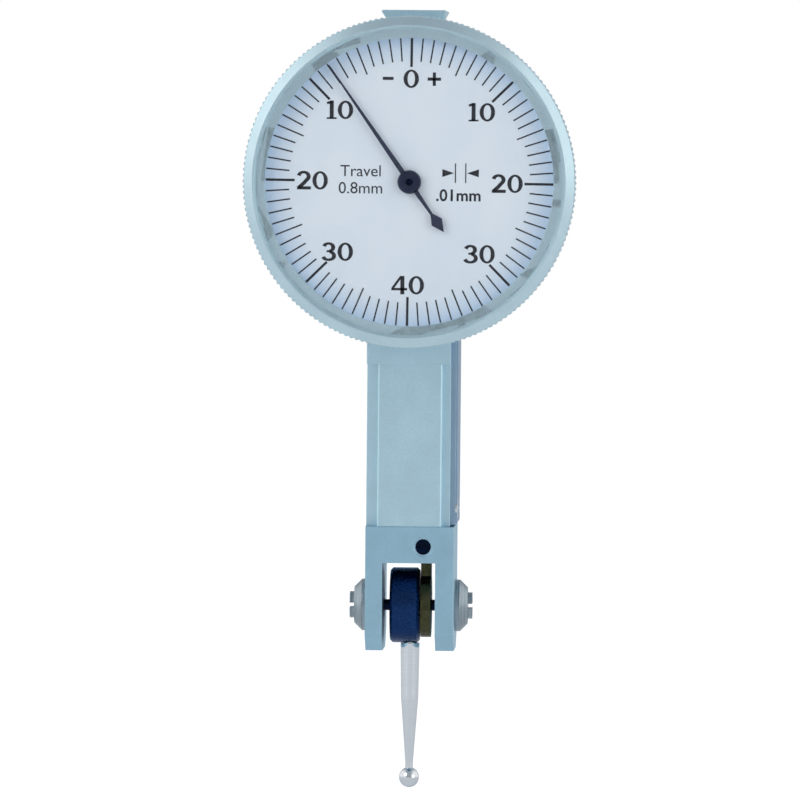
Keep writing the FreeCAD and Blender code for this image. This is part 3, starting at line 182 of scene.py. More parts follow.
class MetalFinish(bpy.types.PropertyGroup):
    """Colours of the plated, blued and plain metals."""

    satin: FloatVectorProperty(
        name="Satin chrome", description="Colour of the satin chrome on the bar",
        default=(0.60, 0.83, 0.93), min=0, max=1, subtype="COLOR")
    # Painted shade: the fork's chrome is the bar's chrome painted darker.
    fork: FloatVectorProperty(
        name="Fork chrome", description="Colour of the satin chrome on the fork",
        default=(0.42, 0.66, 0.80), min=0, max=1, subtype="COLOR")
    bezel: FloatVectorProperty(
        name="Bezel chrome", description="Colour of the satin chrome on the bezel",
        default=(0.66, 0.85, 0.92), min=0, max=1, subtype="COLOR")
    # Painted shade: the side cover's chrome is the bar's chrome painted much darker.
    cover: FloatVectorProperty(
        name="Cover chrome", description="Colour of the side cover",
        default=(0.34, 0.48, 0.62), min=0, max=1, subtype="COLOR")
    steel: FloatVectorProperty(
        name="Polished steel", description="Colour of the polished stylus and ball",
        default=(0.78, 0.82, 0.86), min=0, max=1, subtype="COLOR")
    turned: FloatVectorProperty(
        name="Turned steel", description="Colour of the turned bearing screws",
        default=(0.42, 0.50, 0.55), min=0, max=1, subtype="COLOR")
    blued: FloatVectorProperty(
        name="Blued steel", description="Colour of the blued pivot block",
        default=(0.008, 0.026, 0.085), min=0, max=1, subtype="COLOR")
    black: FloatVectorProperty(
        name="Black oxide", description="Colour of the blackened screw and axle",
        default=(0.006, 0.007, 0.012), min=0, max=1, subtype="COLOR")
    # The lever's brass is painted far darker than the movement's brass.
    aged_brass: FloatVectorProperty(
        name="Dark lever brass", description="Colour of the lever's browned brass",
        default=(0.10, 0.10, 0.050), min=0, max=1, subtype="COLOR")
    fine_brass: FloatVectorProperty(
        name="Fine brass", description="Colour of the movement's bright brass",
        default=(0.72, 0.55, 0.24), min=0, max=1, subtype="COLOR")
    ruby: FloatVectorProperty(
        name="Ruby", description="Colour of the jewels",
        default=(0.45, 0.01, 0.06), min=0, max=1, subtype="COLOR")
    grain: FloatProperty(
        name="Blast grain", description="Size of the pits that give the chrome its satin look",
        default=0.09 * MM, subtype="DISTANCE", unit="LENGTH")
    edge_round: FloatProperty(
        name="Edge rounding", description="Radius of the softened edges",
        default=0.07 * MM, subtype="DISTANCE", unit="LENGTH")


class StudioSetup(bpy.types.PropertyGroup):
    """Camera, floor and lamps."""

    distance: FloatProperty(
        name="Camera distance", description="From the camera to the object",
        default=0.9, subtype="DISTANCE", unit="LENGTH")
    view_width: FloatProperty(
        name="Width in view", description="Width that the camera takes in at the object",
        default=78.7 * MM, subtype="DISTANCE", unit="LENGTH")
    azimuth: FloatProperty(
        name="Azimuth", description="How far the camera stands to the right of square on",
        default=math.radians(2.1), subtype="ANGLE", unit="ROTATION")
    elevation: FloatProperty(
        name="Elevation", description="How far the camera stands above square on",
        default=math.radians(1.75), subtype="ANGLE", unit="ROTATION")
    roll: FloatProperty(
        name="Roll", description="How far the camera is rolled",
        default=math.radians(0.5), subtype="ANGLE", unit="ROTATION")
    aim_side: FloatProperty(
        name="Aim sideways", description="Aim point beside the dial's axis",
        default=-1.2 * MM, subtype="DISTANCE", unit="LENGTH")
    aim_drop: FloatProperty(
        name="Aim drop", description="Aim point below the dial's axis",
        default=21.53 * MM, subtype="DISTANCE", unit="LENGTH")
    floor_gap: FloatProperty(
        name="Floor gap", description="Clear height between the ball and the floor",
        default=0.2 * MM, subtype="DISTANCE", unit="LENGTH")


# ---------------------------------------------------------------- node helpers


def blank_material(name):
    """Start a material that holds only a Principled shader wired to its output."""
    material = bpy.data.materials.new(name)
    material.use_nodes = True
    tree = material.node_tree
    tree.nodes.clear()
    output = tree.nodes.new("ShaderNodeOutputMaterial")
    shader = tree.nodes.new("ShaderNodeBsdfPrincipled")
    tree.links.new(shader.outputs["BSDF"], output.inputs["Surface"])
    return material, tree, shader


def add(tree, kind, **settings):
    """Add a node and set the named sockets or properties on it."""
    node = tree.nodes.new(kind)
    for name, setting in settings.items():
        socket = node.inputs.get(name.replace("_", " "))
        if socket is not None:
            socket.default_value = setting
        else:
            setattr(node, name, setting)
    return node


def link(tree, source, output, target, socket):
    """Wire one node's output to another node's socket."""
    tree.links.new(source.outputs[output], target.inputs[socket])


def local_point(tree):
    """Give the coordinates of the surface in the object's own space, in metres."""
    return add(tree, "ShaderNodeTexCoord")


def speckle(tree, point, size, detail=3.0, roughness=0.6):
    """Add a noise whose lumps are about the given size."""
    noise = add(tree, "ShaderNodeTexNoise", Scale=1 / size, Detail=detail, Roughness=roughness)
    link(tree, point, "Object", noise, "Vector")
    return noise


def spread(tree, source, low, high, output="Fac"):
    """Stretch a noise's middle range to run from low to high."""
    ramp = add(tree, "ShaderNodeMapRange", From_Min=0.3, From_Max=0.7, To_Min=low, To_Max=high)
    link(tree, source, output, ramp, "Value")
    return ramp


def blend_colours(tree, factor, output, first, second):
    """Mix two colours by a factor."""
    mix = add(tree, "ShaderNodeMix", data_type="RGBA")
    colours = [item for item in mix.inputs if item.type == "RGBA"]
    for socket, colour in zip(colours, (first, second)):
        socket.default_value = (*colour, 1)
    factor_socket = next(item for item in mix.inputs if item.type == "VALUE")
    tree.links.new(factor.outputs[output], factor_socket)
    return mix


def colour_out(mix):
    """Give the colour output of a mix node."""
    return next(item for item in mix.outputs if item.type == "RGBA")


def scaled(colour, share):
    """Give a colour scaled by a share."""
    return tuple(channel * share for channel in colour)


def base_between(tree, shader, factor, output, first, second):
    """Colour a shader between two colours by a factor."""
    base = blend_colours(tree, factor, output, first, second)
    tree.links.new(colour_out(base), shader.inputs["Base Color"])


def gloss_between(tree, shader, noise, low, high):
    """Vary a shader's roughness with a noise."""
    gloss = spread(tree, noise, low, high)
    link(tree, gloss, "Result", shader, "Roughness")


def dents(tree, shader, noise, strength, depth, edge_round):
    """Dent a surface by a noise, with the shading rounded at its sharp edges."""
    edges = add(tree, "ShaderNodeBevel", Radius=edge_round, samples=6)
    bump = add(tree, "ShaderNodeBump", Strength=strength, Distance=depth)
    link(tree, noise, "Fac", bump, "Height")
    link(tree, edges, "Normal", bump, "Normal")
    link(tree, bump, "Normal", shader, "Normal")


def put_on(material, *nodes):
    """Give a material to carried-over nodes."""
    for name in nodes:
        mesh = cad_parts[name].data
        mesh.materials.clear()
        mesh.materials.append(material)


# ---------------------------------------------------------------- metals


def satin_chrome(name, colour, grain, edge_round, roughness=(0.34, 0.46), strength=0.25):
    """Satin chrome: a fine blasted grain, a faint cloudiness and softened bright edges."""
    material, tree, shader = blank_material(name)
    point = local_point(tree)
    pits = speckle(tree, point, grain)
    clouds = speckle(tree, point, 40 * grain, 2.0)
    tint = spread(tree, clouds, 0.0, 1.0)
    base = blend_colours(tree, tint, "Result", scaled(colour, 0.93), colour)
    dusted = add(tree, "ShaderNodeMix", data_type="RGBA", blend_type="MULTIPLY")
    factor = next(item for item in dusted.inputs if item.type == "VALUE")
    factor.default_value = 0.35
    sockets = [item for item in dusted.inputs if item.type == "RGBA"]
    tree.links.new(colour_out(base), sockets[0])
    shades = add(tree, "ShaderNodeValToRGB")
    shades.color_ramp.elements[0].position = 0.35
    shades.color_ramp.elements[0].color = (0.72, 0.76, 0.80, 1)
    shades.color_ramp.elements[1].position = 0.60
    link(tree, pits, "Fac", shades, "Fac")
    tree.links.new(shades.outputs["Color"], sockets[1])
    tree.links.new(colour_out(dusted), shader.inputs["Base Color"])
    gloss_between(tree, shader, pits, *roughness)
    dents(tree, shader, pits, strength, 0.3 * grain, edge_round)
    shader.inputs["Metallic"].default_value = 1.0
    return material


def turned_metal(name, colour, axis, pitch, edge_round, roughness=(0.18, 0.32), tone=0.8):
    """Turned metal: fine tool rings along an axis, with uneven gloss between them."""
    material, tree, shader = blank_material(name)
    point = local_point(tree)
    stretch = add(tree, "ShaderNodeMapping")
    along = [0.02, 0.02, 0.02]
    along["XYZ".index(axis)] = 1.0
    stretch.inputs["Scale"].default_value = along
    link(tree, point, "Object", stretch, "Vector")
    rings = add(tree, "ShaderNodeTexNoise", Scale=1 / pitch, Detail=3.0, Roughness=0.7)
    link(tree, stretch, "Vector", rings, "Vector")
    tint = spread(tree, rings, 0.0, 1.0)
    base_between(tree, shader, tint, "Result", scaled(colour, tone), colour)
    gloss_between(tree, shader, rings, *roughness)
    dents(tree, shader, rings, 0.15, 0.2 * pitch, edge_round)
    shader.inputs["Metallic"].default_value = 1.0
    return material


def mottled_metal(name, colour, patch, patch_size, edge_round, roughness):
    """Metal with a chemical colour: patches of a second shade and a fine tooth."""
    material, tree, shader = blank_material(name)
    point = local_point(tree)
    patches = speckle(tree, point, patch_size, 5.0, 0.7)
    tint = spread(tree, patches, 0.0, 1.0)
    base_between(tree, shader, tint, "Result", colour, patch)
    gloss_between(tree, shader, patches, *roughness)
    tooth = speckle(tree, point, 0.12 * patch_size, 2.0)
    dents(tree, shader, tooth, 0.2, 0.02 * patch_size, edge_round)
    shader.inputs["Metallic"].default_value = 1.0
    return material


def jewel_stone(name, colour):
    """Polished synthetic ruby: deep colour with faint growth clouds."""
    material, tree, shader = blank_material(name)
    clouds = speckle(tree, local_point(tree), 0.3 * MM)
    tint = spread(tree, clouds, 0.0, 1.0)
    base_between(tree, shader, tint, "Result", scaled(colour, 0.7), colour)
    gloss_between(tree, shader, clouds, 0.04, 0.10)
    return material


# ---------------------------------------------------------------- printed dial


def ride_as(name, mesh, material, body):
    """Make an object of a mesh and a material, and let it ride on a body."""
    mesh.materials.clear()
    mesh.materials.append(material)
    piece = bpy.data.objects.new(name, mesh)
    bpy.context.scene.collection.objects.link(piece)
    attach(piece, body)


def mesh_piece(name, maker, material, body):
    """Make a piece from a function that fills a bmesh, and let it ride on a body."""
    mesh = bpy.data.meshes.new(name)
    shape = bmesh.new()
    maker(shape)
    bmesh.ops.recalc_face_normals(shape, faces=shape.faces)
    shape.to_mesh(mesh)
    shape.free()
    ride_as(name, mesh, material, body)


def printed_outline(shape, corners, face_y, film):
    """Add a thin film with a straight outline, given as (across, up) on the dial's face."""
    front = [shape.verts.new((across, face_y - film, up)) for across, up in corners]
    back = [shape.verts.new((across, face_y, up)) for across, up in corners]
    shape.faces.new(front)
    shape.faces.new(back[::-1])
    count = len(corners)
    for index in range(count):
        following = (index + 1) % count
        shape.faces.new((front[index], back[index], back[following], front[following]))


def clockwise(angle, radius, centre):
    """Give (across, up) on the dial, for an angle clockwise from the top."""
    return centre.x + radius * math.sin(angle), centre.z + radius * math.cos(angle)


def dial_marks(shape, face_y, centre, outer, setup):
    """Add all graduations."""
    for index in range(setup.divisions):
        angle = setup.lean + 2 * PI * index / setup.divisions
        tenth = index % setup.labels_every == 0
        fifth = index % setup.labels_every == setup.labels_every // 2
        length = setup.long_mark if tenth else setup.middle_mark if fifth else setup.short_mark
        half = (setup.thick_line if tenth else setup.thin_line) / 2
        ends = []
        for radius in (outer, outer - length):
            across, up = clockwise(angle, radius, centre)
            side = Vector((math.cos(angle), -math.sin(angle))) * half
            ends.append((across - side.x, up - side.y))
            ends.append((across + side.x, up + side.y))
        printed_outline(shape, (ends[0], ends[1], ends[3], ends[2]), face_y, setup.film)


def oval_stroke(middle_point, radii, start, end, thin, thick, steps=24):
    """Give a curved pen stroke as (across, up, width), broad at its sides and thin elsewhere."""
    stroke = []
    for step in range(steps + 1):
        angle = math.radians(start + (end - start) * step / steps)
        across = middle_point[0] + radii[0] * math.cos(angle)
        up = middle_point[1] + radii[1] * math.sin(angle)
        stroke.append((across, up, thin + (thick - thin) * math.cos(angle) ** 2))
    return stroke


def straight_stroke(start, end, width):
    """Give a straight pen stroke as (across, up, width)."""
    return [(*start, width), (*end, width)]


# Each numeral's width and pen strokes, for a height of one.
NUMERALS = {
    "0": (0.84, (oval_stroke((0.42, 0.5), (0.31, 0.445), 0, 360, HAIR, STEM, 40),)),
    "1": (0.56, (
        straight_stroke((0.29, 0.0), (0.29, 1.0), STEM),
        straight_stroke((0.03, 0.86), (0.30, 0.93), 0.13),
        straight_stroke((0.02, 0.045), (0.56, 0.045), 0.09),
    )),
    "2": (0.82, (
        oval_stroke((0.40, 0.71), (0.27, 0.235), 170, -28, HAIR + 0.03, STEM)
        + [(0.40, 0.34, 0.20), (0.14, 0.10, 0.20)],
        straight_stroke((0.04, 0.085), (0.80, 0.085), 0.17),
    )),
    "3": (0.80, (
        oval_stroke((0.37, 0.735), (0.25, 0.21), 165, -80, HAIR + 0.02, STEM),
        oval_stroke((0.37, 0.275), (0.30, 0.22), 80, -165, HAIR + 0.02, STEM),
        straight_stroke((0.26, 0.525), (0.42, 0.525), HAIR),
    )),
    "4": (0.88, (
        straight_stroke((0.60, 0.0), (0.60, 1.0), STEM),
        straight_stroke((0.53, 0.97), (0.06, 0.32), HAIR + 0.02),
        straight_stroke((0.0, 0.28), (0.86, 0.28), 0.13),
    )),
}


def pen_stroke(shape, stroke, place, height, face_y, film):
    """Print one pen stroke as a thin raised ribbon."""
    edges = []
    for index, (across, up, width) in enumerate(stroke):
        before = stroke[max(index - 1, 0)]
        after = stroke[min(index + 1, len(stroke) - 1)]
        heading = Vector((after[0] - before[0], after[1] - before[1])).normalized()
        side = Vector((-heading.y, heading.x)) * width / 2
        corners = []
        for sign in (1, -1):
            x = place[0] + (across + sign * side.x) * height
            z = place[1] + (up + sign * side.y) * height
            corners.append(shape.verts.new((x, face_y - film, z)))
            corners.append(shape.verts.new((x, face_y, z)))
        edges.append(corners)
    for first, second in zip(edges, edges[1:]):
        shape.faces.new((first[0], first[2], second[2], second[0]))
        shape.faces.new((first[0], second[0], second[1], first[1]))
        shape.faces.new((first[2], first[3], second[3], second[2]))
    for corners in (edges[0], edges[-1]):
        shape.faces.new((corners[0], corners[1], corners[3], corners[2]))


def numeral(shape, words, height, centre, face_y, film):
    """Print a number with its middle on a point of the dial."""
    total = sum(NUMERALS[digit][0] for digit in words) + DIGIT_GAP * (len(words) - 1)
    across = centre[0] - total * height / 2
    for digit in words:
        width, strokes = NUMERALS[digit]
        for stroke in strokes:
            pen_stroke(shape, stroke, (across, centre[1] - height / 2), height, face_y, film)
        across += (width + DIGIT_GAP) * height


def sign_mark(shape, centre, length, upright, face_y, film):
    """Print a minus sign, or a plus sign when upright is true."""
    half = length / 2
    strokes = [straight_stroke((-half, 0), (half, 0), SIGN_WIDTH)]
    if upright:
        strokes.append(straight_stroke((0, -half), (0, half), SIGN_WIDTH))
    for stroke in strokes:
        pen_stroke(shape, stroke, centre, 1, face_y, film)


def lettering(name, words, height, place, weight, face_y, film, material):
    """Set upright words on the dial, centred on a place, with digits of the given height."""
    curve = bpy.data.curves.new(name, "FONT")
    curve.body = words
    curve.align_x = "CENTER"
    curve.align_y = "CENTER"
    curve.offset = weight
    curve.space_character = 1.0 + weight
    source = bpy.data.objects.new(name + "_outline", curve)
    bpy.context.scene.collection.objects.link(source)
    bpy.context.view_layer.update()
    graph = bpy.context.evaluated_depsgraph_get()
    mesh = bpy.data.meshes.new_from_object(source.evaluated_get(graph))
    bpy.data.objects.remove(source)
    bpy.data.curves.remove(curve)
    shape = bmesh.new()
    shape.from_mesh(mesh)
    lows = [min(vert.co[axis] for vert in shape.verts) for axis in range(2)]
    highs = [max(vert.co[axis] for vert in shape.verts) for axis in range(2)]
    scale = height / FONT_DIGIT_HEIGHT
    centre = [(low + high) / 2 for low, high in zip(lows, highs)]
    for vert in shape.verts:
        across = (vert.co.x - centre[0]) * scale
        up = (vert.co.y - centre[1]) * scale
        vert.co = (place[0] + across, face_y - film, place[1] + up)
    raised = bmesh.ops.extrude_face_region(shape, geom=list(shape.faces))
    for item in raised["geom"]:
        if isinstance(item, bmesh.types.BMVert):
            item.co.y = face_y
    bmesh.ops.remove_doubles(shape, verts=shape.verts, dist=1e-7)
    bmesh.ops.recalc_face_normals(shape, faces=shape.faces)
    shape.to_mesh(mesh)
    shape.free()
    mesh.name = name
    ride_as(name, mesh, material, "bezel")


def dial_centre():
    """Give the point where the pointer's axis meets the dial's face."""
    point = middle("pointer_hub")
    point.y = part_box("dial_face")[0][1]
    return point


def printed_ink(name, colour):
    """Printed ink: nearly black, with slight unevenness in cover and gloss."""
    material, tree, shader = blank_material(name)
    cover = speckle(tree, local_point(tree), 0.12 * MM)
    tint = spread(tree, cover, 0.0, 1.0)
    thin = tuple(channel + 0.02 for channel in colour)
    base_between(tree, shader, tint, "Result", colour, thin)
    gloss_between(tree, shader, cover, 0.42, 0.6)
    return material


def enamel(name, colour, rim_shade_colour, centre, radius):
    """White dial enamel with a faint fine texture, turning darker and bluer towards the rim:
    painted shade and a painted bluish reflection.
    """
    material, tree, shader = blank_material(name)
    point = local_point(tree)
    shift = add(tree, "ShaderNodeVectorMath", operation="DISTANCE")
    shift.inputs[1].default_value = centre
    link(tree, point, "Object", shift, 0)
    # Painted shade and reflection: darker, bluer enamel over the outer part of the dial.
    painted_rim_ramp = add(tree, "ShaderNodeMapRange", From_Min=0.72 * radius, From_Max=radius)
    painted_rim_ramp.interpolation_type = "SMOOTHSTEP"
    link(tree, shift, "Value", painted_rim_ramp, "Value")
    # Random clouds blend up to a fifth of the way towards the same painted rim colour.
    clouds = speckle(tree, point, 6 * MM, 2.0)
    cloudy = spread(tree, clouds, 0.0, 0.22)
    total = add(tree, "ShaderNodeMath", operation="MAXIMUM")
    link(tree, painted_rim_ramp, "Result", total, 0)
    link(tree, cloudy, "Result", total, 1)
    base_between(tree, shader, total, "Value", colour, rim_shade_colour)
    tooth = speckle(tree, point, 0.15 * MM)
    gloss_between(tree, shader, tooth, 0.5, 0.62)
    bump = add(tree, "ShaderNodeBump", Strength=0.08, Distance=0.01 * MM)
    link(tree, tooth, "Fac", bump, "Height")
    link(tree, bump, "Normal", shader, "Normal")
    return material


def clear_crystal(name):
    """Clear crystal: mostly see-through, with a polished skin and faint wipe marks."""
    material, tree, shader = blank_material(name)
    wipes = speckle(tree, local_point(tree), 4 * MM, 3.0)
    gloss_between(tree, shader, wipes, 0.03, 0.07)
    tint = spread(tree, wipes, 0.0, 1.0)
    base_between(tree, shader, tint, "Result", (0.93, 0.96, 1.0), (0.97, 0.98, 1.0))
    shader.inputs["Transmission Weight"].default_value = 1.0
    shader.inputs["Alpha"].default_value = 0.08
    shader.inputs["IOR"].default_value = 1.49
    return material


# ---------------------------------------------------------------- operators


class INDICATOR_OT_bar(bpy.types.Operator):
    """Plate the bar, fork, side cover and case in satin chrome."""

    bl_idname = "indicator.bar"
    bl_label = "Bar and fork"

    def execute(self, context):
        metal = context.scene.indicator_metal
        for name, colour, node in (
            ("bar_satin_chrome", metal.satin, "body_bar"),
            # Painted shade: the fork's chrome is darker than the bar's.
            ("fork_shaded_satin_chrome", metal.fork, "fork"),
            # Painted shade: the side cover's chrome is much darker than the bar's.
            ("cover_shaded_satin_chrome", metal.cover, "side_cover"),
            ("case_satin_chrome", metal.satin, "movement_case"),
        ):
            put_on(satin_chrome(name, colour, metal.grain, metal.edge_round), node)
        return {"FINISHED"}


class INDICATOR_OT_bezel(bpy.types.Operator):
    """Plate the bezel and finish its springs."""

    bl_idname = "indicator.bezel"
    bl_label = "Bezel"

    def execute(self, context):
        metal = context.scene.indicator_metal
        put_on(satin_chrome("bezel_satin_chrome", metal.bezel, metal.grain, 0.5 * metal.edge_round,
                            roughness=(0.30, 0.42), strength=0.18), "bezel_ring")
        put_on(turned_metal("spring_steel", metal.turned, "Y", 0.05 * MM, metal.edge_round),
               "dial_snap_ring", "bezel_wire_spring", "hairspring")
        return {"FINISHED"}


class INDICATOR_OT_movement(bpy.types.Operator):
    """Finish the brass, steel and jewels of the movement."""

    bl_idname = "indicator.movement"
    bl_label = "Movement"

    def execute(self, context):
        metal = context.scene.indicator_metal
        brass = mottled_metal("fine_brass", metal.fine_brass, scaled(metal.fine_brass, 0.86),
                              0.6 * MM, 0.5 * metal.edge_round, roughness=(0.22, 0.34))
        put_on(brass, "movement_plate", "pinion_bridge", "crown_cock", "crown_gear",
               "hairspring_collet")
        front_steel = turned_metal("small_turned_steel", metal.steel, "Y", 0.04 * MM,
                                   0.5 * metal.edge_round)
        put_on(front_steel, "movement_plate_screws", "pinion_bridge_screws", "case_screws",
               "hairspring_stud")
        side_steel = turned_metal("side_turned_steel", metal.steel, "X", 0.04 * MM,
                                  0.5 * metal.edge_round)
        put_on(side_steel, "side_cover_screws", "crown_cock_screws", "crown_pinion_shaft",
               "bearing_ring_left", "bearing_ring_right", "rest_stop_pin")
        put_on(jewel_stone("jewel_ruby", metal.ruby), "front_jewel", "rear_jewel",
               "crown_jewel_left", "crown_jewel_right")
        return {"FINISHED"}


class INDICATOR_OT_pivot(bpy.types.Operator):
    """Finish the bearing screws, axle, stop screw and brass lever."""

    bl_idname = "indicator.pivot"
    bl_label = "Pivot and lever"

    def execute(self, context):
        metal = context.scene.indicator_metal
        put_on(turned_metal("bearing_turned_steel", metal.turned, "X", 0.09 * MM, metal.edge_round,
                            roughness=(0.22, 0.36), tone=0.55),
               "bearing_screw_left", "bearing_screw_right")
        put_on(mottled_metal("black_oxide", metal.black, scaled(metal.blued, 0.6), 0.4 * MM,
                             metal.edge_round, roughness=(0.22, 0.34)),
               "travel_stop_screw", "pivot_axle", "pointer_spindle")
        # Brass far darker than the movement's brass, with darker random patches.
        put_on(mottled_metal("aged_brass", metal.aged_brass, scaled(metal.aged_brass, 0.45),
                             0.5 * MM, metal.edge_round, roughness=(0.3, 0.5)), "lever_sector")
        return {"FINISHED"}


class INDICATOR_OT_stylus(bpy.types.Operator):
    """Finish the blued block, the polished shank and the ball."""

    bl_idname = "indicator.stylus"
    bl_label = "Stylus"

    def execute(self, context):
        metal = context.scene.indicator_metal
        put_on(mottled_metal("blued_steel", metal.blued, scaled(metal.blued, 2.2), 0.28 * MM,
                             1.5 * metal.edge_round, roughness=(0.20, 0.38)), "pivot_block")
        put_on(turned_metal("polished_shank", metal.steel, "Z", 0.06 * MM, metal.edge_round,
                            roughness=(0.07, 0.13), tone=0.9), "stylus_shank")
        put_on(turned_metal("polished_ball", metal.steel, "Z", 0.08 * MM, metal.edge_round,
                            roughness=(0.06, 0.11), tone=0.92), "contact_ball")
        return {"FINISHED"}


class INDICATOR_OT_dial(bpy.types.Operator):
    """Enamel the dial and print its graduations, numerals and notes."""

    bl_idname = "indicator.dial"
    bl_label = "Dial"

    def execute(self, context):
        setup = context.scene.indicator_dial
        centre = dial_centre()
        face_y = centre.y
        dial_radius = size_of("dial_face").x / 2
        put_on(enamel("dial_enamel", setup.face, setup.face_edge, centre, dial_radius),
               "dial_face")
        ink = printed_ink("dial_ink", setup.ink)
        outer = dial_radius - LIP_COVER - setup.margin
        mesh_piece("dial_graduations", lambda shape: dial_marks(
            shape, face_y, centre, outer, setup), ink, "bezel")
        steps = setup.divisions // setup.labels_every
        for index in range(steps):
            number = setup.labels_every * min(index, steps - index)
            angle = 2 * PI * index / steps
            orbit = setup.numeral_orbit + TALL_ORBIT * math.cos(angle) ** 2
            place = clockwise(angle + setup.lean, orbit, centre)
            mesh_piece(f"numeral_{number}_{index}", lambda shape: numeral(
                shape, str(number), setup.numeral_height, place, face_y, setup.film), ink, "bezel")
        for name, side, length in SIGNS:
            place = clockwise(setup.lean + side * SIGN_ANGLE, SIGN_ORBIT, centre)
            mesh_piece(name, lambda shape: sign_mark(
                shape, place, length, side > 0, face_y, setup.film), ink, "bezel")
        for name, words, across, up, weight in NOTES:
            lettering(name, words, setup.note_height, (centre.x + across, centre.z + up),
                      weight, face_y, setup.film, ink)
        mesh_piece("division_arrows", lambda shape: self.arrows(
            shape, face_y, centre, setup.film), ink, "bezel")
        return {"FINISHED"}

    def arrows(self, shape, face_y, centre, film):
        """Print two thin lines with an arrow towards each, which show one division."""
        up = centre.z + LINES_UP
        low, high = up - LINE_HALF_HEIGHT, up + LINE_HALF_HEIGHT
        for side in (-1, 1):
            line = centre.x + LINES_ACROSS + side * LINE_OFFSET
            left, right = line - LINE_HALF_WIDTH, line + LINE_HALF_WIDTH
            corners = ((left, low), (right, low), (right, high), (left, high))
            printed_outline(shape, corners, face_y, film)
            tip = line + side * ARROW_CLEARANCE
            back = tip + side * ARROW_LENGTH
            corners = ((tip, up), (back, up - ARROW_HALF_HEIGHT), (back, up + ARROW_HALF_HEIGHT))
            printed_outline(shape, corners, face_y, film)


class INDICATOR_OT_pointer(bpy.types.Operator):
    """Enamel the pointer and finish its hub."""

    bl_idname = "indicator.pointer"
    bl_label = "Pointer"

    def execute(self, context):
        setup = context.scene.indicator_dial
        put_on(printed_ink("pointer_enamel", setup.pointer), "pointer")
        hub_colour = tuple(0.035 + 1.2 * channel for channel in setup.pointer)
        put_on(turned_metal("hub_steel", hub_colour, "Y", 0.05 * MM, 0.06 * MM,
                            roughness=(0.3, 0.45)), "pointer_hub")
        return {"FINISHED"}


class INDICATOR_OT_crystal(bpy.types.Operator):
    """Make the crystal clear."""

    bl_idname = "indicator.crystal"
    bl_label = "Crystal"

    def execute(self, context):
        put_on(clear_crystal("clear_crystal"), "crystal")
        return {"FINISHED"}


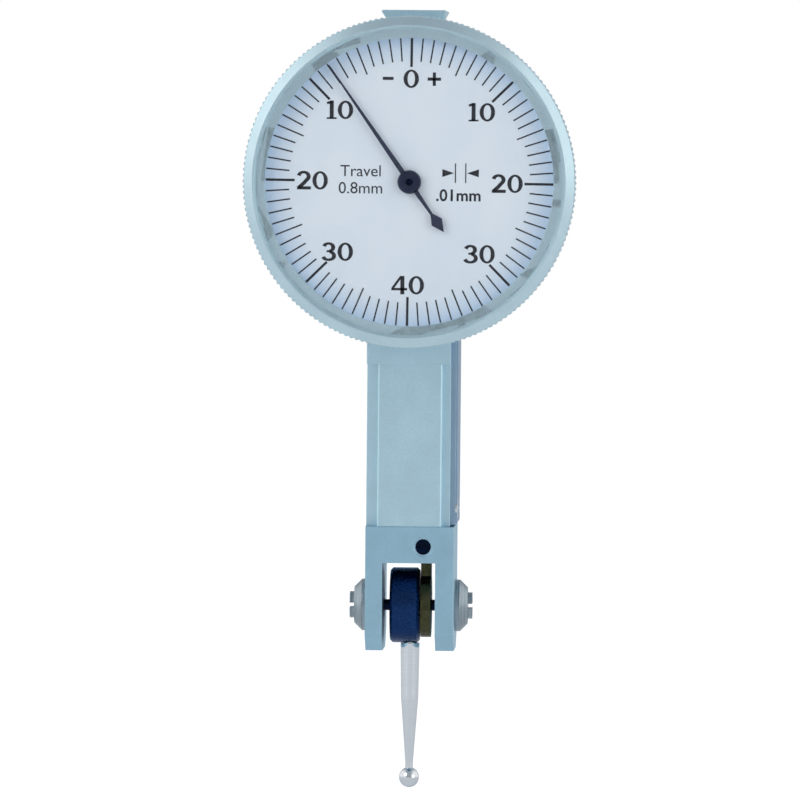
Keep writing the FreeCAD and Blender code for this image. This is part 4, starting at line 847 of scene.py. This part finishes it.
class INDICATOR_OT_studio(bpy.types.Operator):
    """Set up the floor, the soft lamps, the white surroundings and the camera."""

    bl_idname = "indicator.studio"
    bl_label = "Studio"

    def execute(self, context):
        setup = context.scene.indicator_studio
        self.floor(setup)
        self.surroundings(context.scene)
        self.lamps()
        self.camera(context.scene, setup)
        context.scene.view_settings.view_transform = "Standard"
        return {"FINISHED"}

    def floor(self, setup):
        """Lay a wide pale floor under the ball."""
        level = CAD_BOX[0][2] - setup.floor_gap
        mesh = bpy.data.meshes.new("floor")
        shape = bmesh.new()
        bmesh.ops.create_circle(shape, cap_ends=True, radius=FLOOR_RADIUS, segments=96)
        for vert in shape.verts:
            vert.co.z = level
        shape.to_mesh(mesh)
        shape.free()
        floor = bpy.data.objects.new("floor", mesh)
        bpy.context.scene.collection.objects.link(floor)
        material, tree, shader = blank_material("pale_floor")
        mottle = speckle(tree, local_point(tree), 12 * MM)
        tint = spread(tree, mottle, 0.0, 1.0)
        base_between(tree, shader, tint, "Result", (0.90, 0.91, 0.92), (0.93, 0.94, 0.95))
        shader.inputs["Roughness"].default_value = 0.8
        path = add(tree, "ShaderNodeLightPath")
        glow = add(tree, "ShaderNodeMath", operation="MULTIPLY")
        glow.inputs[1].default_value = FLOOR_GLOW
        link(tree, path, "Is Camera Ray", glow, 0)
        shader.inputs["Emission Color"].default_value = (*WHITE, 1)
        link(tree, glow, "Value", shader, "Emission Strength")
        mesh.materials.append(material)

    def surroundings(self, scene):
        """Surround the object with bright side walls, and dimmer front, back, top and bottom."""
        world = bpy.data.worlds.new("studio")
        scene.world = world
        world.use_nodes = True
        tree = world.node_tree
        tree.nodes.clear()
        output = tree.nodes.new("ShaderNodeOutputWorld")
        direction = add(tree, "ShaderNodeTexCoord")
        split = add(tree, "ShaderNodeSeparateXYZ")
        link(tree, direction, "Generated", split, "Vector")
        sideways = add(tree, "ShaderNodeMath", operation="ABSOLUTE")
        link(tree, split, "X", sideways, 0)
        side = add(tree, "ShaderNodeMapRange", From_Min=0.30, From_Max=0.80)
        side.interpolation_type = "SMOOTHSTEP"
        link(tree, sideways, "Value", side, "Value")
        shade = blend_colours(tree, side, "Result", DIM_WALL, WHITE)
        lit = add(tree, "ShaderNodeBackground", Strength=1.0)
        tree.links.new(colour_out(shade), lit.inputs["Color"])
        seen = add(tree, "ShaderNodeBackground", Strength=1.0)
        seen.inputs["Color"].default_value = (*WHITE, 1)
        path = add(tree, "ShaderNodeLightPath")
        mix = add(tree, "ShaderNodeMixShader")
        link(tree, path, "Is Camera Ray", mix, "Fac")
        tree.links.new(lit.outputs[0], mix.inputs[1])
        tree.links.new(seen.outputs[0], mix.inputs[2])
        tree.links.new(mix.outputs[0], output.inputs["Surface"])

    def lamps(self):
        """Hang a soft key lamp upper left and a weaker one to the right."""
        for name, place, side, power in LAMPS:
            lamp = bpy.data.lights.new(name, "AREA")
            lamp.shape = "SQUARE"
            lamp.size = side
            lamp.energy = power
            holder = bpy.data.objects.new(name, lamp)
            bpy.context.scene.collection.objects.link(holder)
            target = Vector((0, middle("body_bar").y, middle("body_bar").z))
            aim = (target - Vector(place)).to_track_quat("-Z", "Y")
            holder.matrix_world = Matrix.Translation(place) @ aim.to_matrix().to_4x4()

    def camera(self, scene, setup):
        """Stand the camera nearly square on to the dial, with a long lens."""
        target = Vector((setup.aim_side, middle("body_bar").y, dial_centre().z - setup.aim_drop))
        level = math.cos(setup.elevation)
        outward = Vector((math.sin(setup.azimuth) * level, -math.cos(setup.azimuth) * level,
                          math.sin(setup.elevation)))
        lens = bpy.data.cameras.new("camera")
        lens.sensor_width = 36
        lens.lens = lens.sensor_width * setup.distance / setup.view_width
        lens.clip_start = 0.01
        lens.clip_end = 20
        camera = bpy.data.objects.new("camera", lens)
        scene.collection.objects.link(camera)
        turn = (-outward).to_track_quat("-Z", "Y").to_matrix().to_4x4()
        roll = Matrix.Rotation(setup.roll, 4, "Z")
        camera.matrix_world = Matrix.Translation(target + outward * setup.distance) @ turn @ roll
        scene.camera = camera


class INDICATOR_PT_panel(bpy.types.Panel):
    """Lists the steps that finish the indicator."""

    bl_idname = "INDICATOR_PT_panel"
    bl_label = "Dial test indicator"
    bl_space_type = "VIEW_3D"
    bl_region_type = "UI"
    bl_category = "Indicator"

    def draw(self, context):
        for step in STEPS:
            self.layout.operator(step.bl_idname)
        for group in ("indicator_dial", "indicator_metal", "indicator_studio"):
            settings = getattr(context.scene, group)
            box = self.layout.box()
            for name in settings.bl_rna.properties.keys():
                if name not in ("rna_type", "name"):
                    box.prop(settings, name)


STEPS = (
    INDICATOR_OT_bar,
    INDICATOR_OT_bezel,
    INDICATOR_OT_movement,
    INDICATOR_OT_pivot,
    INDICATOR_OT_stylus,
    INDICATOR_OT_dial,
    INDICATOR_OT_pointer,
    INDICATOR_OT_crystal,
    INDICATOR_OT_studio,
)
CLASSES = (DialPrint, MetalFinish, StudioSetup, *STEPS, INDICATOR_PT_panel)


def register():
    """Register the classes and hang the settings on the scene."""
    for item in CLASSES:
        bpy.utils.register_class(item)
    bpy.types.Scene.indicator_dial = PointerProperty(type=DialPrint)
    bpy.types.Scene.indicator_metal = PointerProperty(type=MetalFinish)
    bpy.types.Scene.indicator_studio = PointerProperty(type=StudioSetup)


def unregister():
    """Take the settings and classes away again."""
    del bpy.types.Scene.indicator_studio
    del bpy.types.Scene.indicator_metal
    del bpy.types.Scene.indicator_dial
    for item in reversed(CLASSES):
        bpy.utils.unregister_class(item)


def main():
    """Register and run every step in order."""
    register()
    for step in STEPS:
        group, name = step.bl_idname.split(".")
        result = getattr(getattr(bpy.ops, group), name)()
        if result != {"FINISHED"}:
            raise RuntimeError(f"{step.bl_idname} did not finish")


if __name__ == "__main__":
    main()
